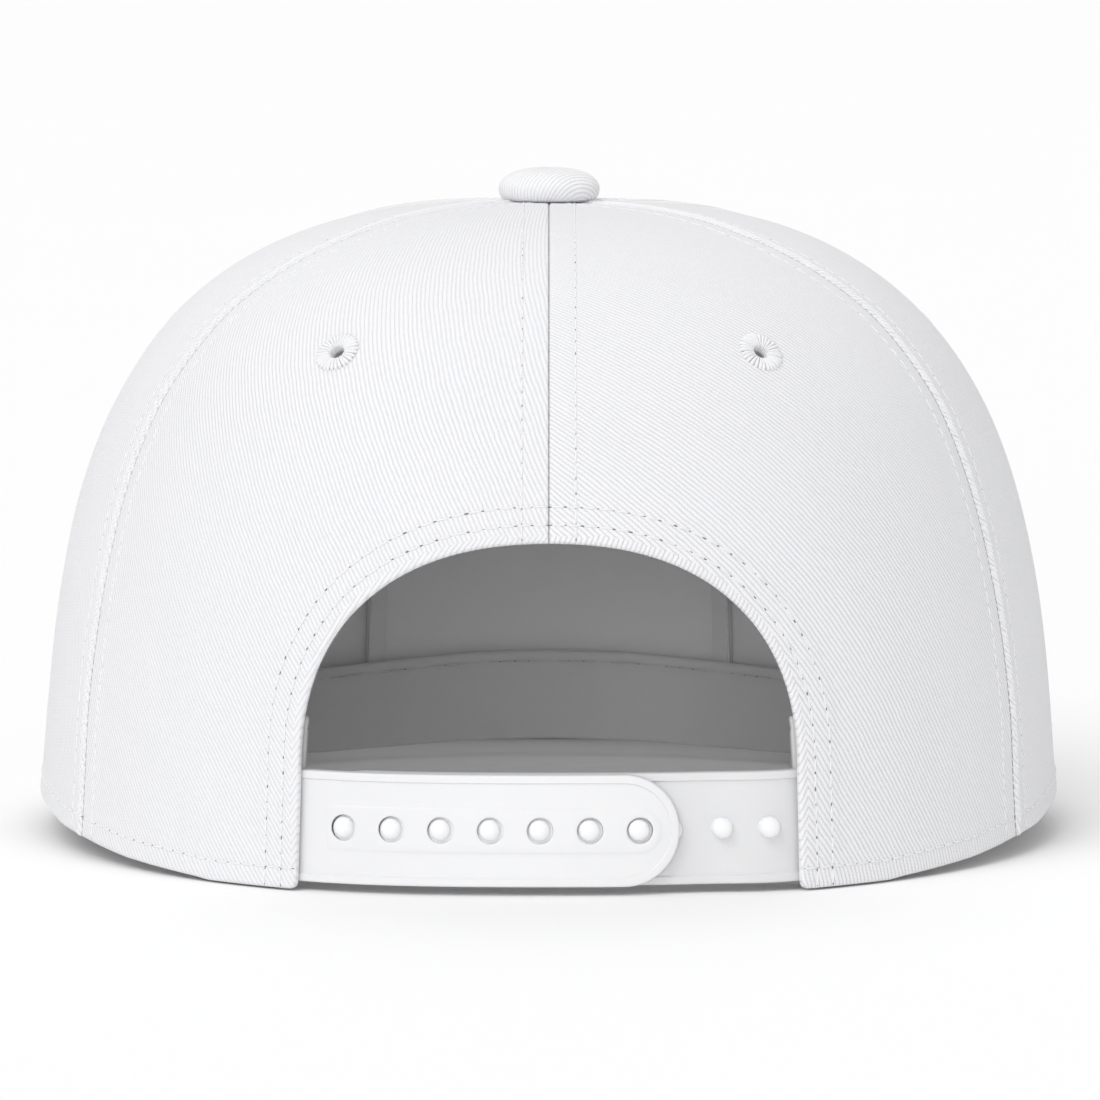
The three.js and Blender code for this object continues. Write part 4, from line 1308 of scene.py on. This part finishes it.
def strap_loops(start, end, holes, plateau):
    """The closed lines that the mesh of one half follows, as flat points."""
    towards = np.sign(end - start)
    loops = [stadium_loop(start + towards * i, end - towards * i, STRAP_HALF - i) for i in RIM_LINES]
    if plateau:
        for inset in PLATEAU_LINES:
            half = plateau["half"] - inset
            loops.append(stadium_loop(plateau["start"] + inset, plateau["end"] - inset, half))
    turn = np.arange(44) * 2 * math.pi / 44
    ring = np.stack([np.cos(turn), np.sin(turn)], axis=-1)
    for hole in holes:
        loops += [[hole, STRAP_MIDDLE] + radius * ring for radius in HOLE_LINES]
    return loops


def strap_net(start, end, holes, loops):
    """Flat points on the loops and between them, and the triangles that join them round the holes."""
    fixed_points = np.concatenate(loops)
    edges, at = [], 0
    for loop in loops:
        edges += [(at + k, at + (k + 1) % len(loop)) for k in range(len(loop))]
        at += len(loop)
    low, high = min(start, end), max(start, end)
    levels = np.arange(STRAP["bottom"] + 2.4, STRAP["top"] - 2, 1.2)
    xs, zs = np.meshgrid(np.arange(low + 1.2, high, 1.2), levels)
    extra = np.stack([xs.ravel(), zs.ravel()], axis=-1)
    extra = extra[stadium(extra, start, end, STRAP_HALF) > 2.1]
    gaps = np.array([np.linalg.norm(fixed_points - p, axis=1).min() for p in extra])
    extra = extra[gaps > 0.5]
    for hole in holes:
        extra = extra[from_hole(extra, hole) > HOLE["radius"] + 0.8]
    points = [Vector(p) for p in np.concatenate([fixed_points, extra])]
    flat, _, triangles = delaunay_2d_cdt(points, edges, [], 0, 1e-5)[:3]
    flat, triangles = np.array(flat), np.array(triangles)
    middles = flat[triangles].mean(axis=1)
    good = stadium(middles, start, end, STRAP_HALF) > 0
    for hole in holes:
        good &= from_hole(middles, hole) > HOLE["radius"] * 0.995
    return flat, triangles[good]


def strap_rise(flat, start, end, holes, plateau):
    """How far each flat point stands proud of the strap's face."""
    inset = stadium(flat, start, end, STRAP_HALF)
    rise = STRAP["rim"] * (1 - smoothstep(inset, STRAP["rim_width"] - 0.1, STRAP["rim_width"] + 0.12))
    rise = rise - rolled(inset, 0.38, 0.3)
    if plateau:
        deep = stadium(flat, plateau["start"], plateau["end"], plateau["half"])
        rise = rise + plateau["rise"] * smoothstep(deep, PLATEAU_LINES[0], PLATEAU_LINES[-1])
    for hole in holes:
        rise = rise - rolled(np.maximum(from_hole(flat, hole) - HOLE["radius"], 0), 0.32, 0.22)
    return rise


def strap_body(start, end, holes, plateau, inner):
    """One half of the strap: a face with rim, plateau and softened holes, a back, and walls between."""
    flat, triangles = strap_net(start, end, holes, strap_loops(start, end, holes, plateau))
    rise = strap_rise(flat, start, end, holes, plateau)
    x = across_at(flat[:, 0])
    front = strap_place(x, flat[:, 1], STRAP_FACE - rise, inner)
    back = strap_place(x, flat[:, 1], STRAP_BACK, inner)
    sample = triangles[len(triangles) // 2]
    facing = np.cross(front[sample[1]] - front[sample[0]], front[sample[2]] - front[sample[0]])
    if facing[1] > 0:
        triangles = triangles[:, ::-1]
    size = len(flat)
    walls = walls_round(triangles, size)
    faces = triangles.tolist() + (triangles[:, ::-1] + size).tolist() + walls.tolist()
    used = np.unique(np.concatenate([np.ravel(f) for f in (triangles, triangles + size, walls)]))
    renumber = {int(k): n for n, k in enumerate(used)}
    places = np.concatenate([front, back])[used]
    return places, [[renumber[k] for k in face] for face in faces]


def strap_spot(length, inner):
    """A place on the middle line of the strap's face, and the direction outwards there."""
    def at(step_x, step_z):
        return strap_place(x + step_x, STRAP_MIDDLE + step_z, STRAP_FACE, False)

    x = across_at(length)
    out = unit(np.cross(at(0.5, 0) - at(-0.5, 0), at(0, 0.5) - at(0, -0.5)))
    return strap_place(x, STRAP_MIDDLE, STRAP_FACE, inner), out


def dome(place, out, radius, shank, rise, sink):
    turn = np.linspace(0, 90, 9) * DEGREE
    profile = [[0, -sink], [radius, -sink], [radius, shank * 0.5]]
    profile += [[radius * math.cos(a) ** 0.9, shank + rise * math.sin(a)] for a in turn[:-1]]
    profile += [[0, shank + rise]]
    return lathe(profile, 36, place, out)


def stud(place, out, shown):
    return dome(
        place, out, STUD["radius"], STUD["shank"] * shown["shank"], STUD["dome"] * shown["dome"], STUD_SINK
    )


def keep_edges(piece):
    piece.data.set_sharp_from_angle(angle=40 * DEGREE)


def build_strap():
    holes = [hole_length(k) for k in range(HOLE["count"])]
    tip_x = across_at(holes[-1]) + OUTER_TIP_MARGIN
    tip = length_at(tip_x)
    plateau = {**PLATEAU, "end": holes[-1] + PLATEAU["end_margin"]}
    body = strap_body(length_at(-TUCK_END), tip, holes, plateau, False)
    nub_place, nub_out = strap_spot(length_at(tip_x - NUB["inset"]), False)
    nub_foot = nub_place - nub_out * STRAP["thick"]
    nub = dome(nub_foot, nub_out, NUB["radius"], NUB_SHANK, NUB["thick"] - NUB_SHANK, 0)
    outer = make_piece("snap_strap_outer", *joined([body, nub]), [PLASTIC], "strap_plastic", ["strap_left"])
    keep_edges(outer)
    inner_tip = length_at(across_at(HOLE["first"]) - INNER_TIP_MARGIN)
    parts = [strap_body(length_at(TUCK_END), inner_tip, [], None, True)]
    for k, length in enumerate(holes):
        spot, out = strap_spot(length, False)
        spot = spot - out * LAP
        first, last = COLLAR["below"]
        collar = LAP - first - (last - first) * (k / (len(holes) - 1)) ** 3
        parts.append(dome(spot, out, HOLE["radius"] - COLLAR["clear"], collar, COLLAR["rise"], STUD_SINK))
        parts.append(stud(spot + [SNUG[0], 0, SNUG[1]], out, SEATED_STUD))
    for k in range(FREE_STUDS["count"]):
        parts.append(stud(*strap_spot(hole_length(HOLE["count"] + k) + FREE_STUDS["shift"], True), FREE_STUD))
    # The studs and collars take the lighter plastic, as painted light; the strap body takes the darker one,
    # as painted shade.
    which = np.repeat([0] + [1] * (len(parts) - 1), [len(part[1]) for part in parts])
    inner = make_piece(
        "snap_strap_inner",
        *joined(parts),
        [SHADED_INNER_PLASTIC, LIT_STUD_PLASTIC],
        "strap_plastic",
        ["strap_right"],
        face_materials=which,
    )
    keep_edges(inner)


# Stage

def build_stage():
    size = 60
    mesh = bpy.data.meshes.new("floor")
    corners = [(-size, -size, 0), (size, -size, 0), (size, size, 0), (-size, size, 0)]
    mesh.from_pydata(corners, [], [(0, 1, 2, 3)])
    mesh.materials.append(floor_finish("pale_floor", (0.962, 0.962, 0.962), (0.97, 0.97, 0.97)))
    floor = bpy.data.objects.new("floor", mesh)
    bpy.context.scene.collection.objects.link(floor)


# Angles in degrees: turn to the right of the camera's side, height above the floor, width of the soft source.
# strength is the share of white that a surface facing the light takes from it.
SKY = 0.6
LIGHTS = [
    {"name": "key", "turn": -36, "height": 48, "width": 42, "strength": 0.36},
    {"name": "fill", "turn": -6, "height": 4, "width": 26, "strength": 0.2},
    {"name": "edge", "turn": 72, "height": 14, "width": 60, "strength": 0.065},
    {"name": "overhead", "turn": 180, "height": 66, "width": 50, "strength": 0.15},
]
# Soft lamps inside: under the crown's top, and over the floor below the band
GLOWS = [
    {"name": "crown_glow", "place": (0, 12, 96), "size": (70, 70), "power": 0.0045},
    {"name": "floor_glow", "place": (0, 88, 2.4), "size": (104, 68), "power": 0.0022},
]


def build_lights():
    world = bpy.data.worlds.new("studio")
    bpy.context.scene.world = world
    world.use_nodes = True
    background = world.node_tree.nodes["Background"]
    background.inputs["Color"].default_value = (1, 1, 1, 1)
    background.inputs["Strength"].default_value = SKY
    for row in LIGHTS:
        light = bpy.data.lights.new(row["name"], "SUN")
        light.angle = row["width"] * DEGREE
        light.energy = row["strength"] * math.pi
        lamp = bpy.data.objects.new(row["name"], light)
        lamp.rotation_euler = ((90 - row["height"]) * DEGREE, 0, row["turn"] * DEGREE)
        bpy.context.scene.collection.objects.link(lamp)


def build_glows():
    """Lamps that lighten the hollow and can't be seen themselves."""
    for row in GLOWS:
        light = bpy.data.lights.new(row["name"], "AREA")
        light.shape = "RECTANGLE"
        light.size, light.size_y = (side * MM for side in row["size"])
        light.energy = row["power"]
        lamp = bpy.data.objects.new(row["name"], light)
        lamp.location = (np.array(row["place"]) + [0, AXIS_Y, 0]) * MM
        lamp.visible_camera = False
        bpy.context.scene.collection.objects.link(lamp)


def build_camera():
    data = bpy.data.cameras.new("camera")
    data.sensor_width = 36
    data.lens = CAMERA["focal_px"] / CAMERA["frame_px"] * data.sensor_width
    data.clip_start = 0.05
    data.clip_end = 60
    camera = bpy.data.objects.new("camera", data)
    camera.location = (CAMERA["aside"] * MM, (AXIS_Y - CAMERA["back"]) * MM, CAMERA["height"] * MM)
    camera.rotation_euler = ((90 - CAMERA["down"]) * DEGREE, 0, 0)
    bpy.context.scene.collection.objects.link(camera)
    bpy.context.scene.camera = camera


def set_view():
    view = bpy.context.scene.view_settings
    view.view_transform = "Standard"
    view.look = "None"
    view.exposure = 0
    view.gamma = 1


build_camera()
build_lights()
build_glows()
set_view()
build_stage()
for panel in PANELS:
    build_panel(panel)
    build_rows(panel)
    if panel.place.startswith("side"):
        build_cords(panel)
    build_eyelet(panel)
build_seam_lines()
build_button()
build_brim()
build_sweatband()
build_front_inside()
build_strap()
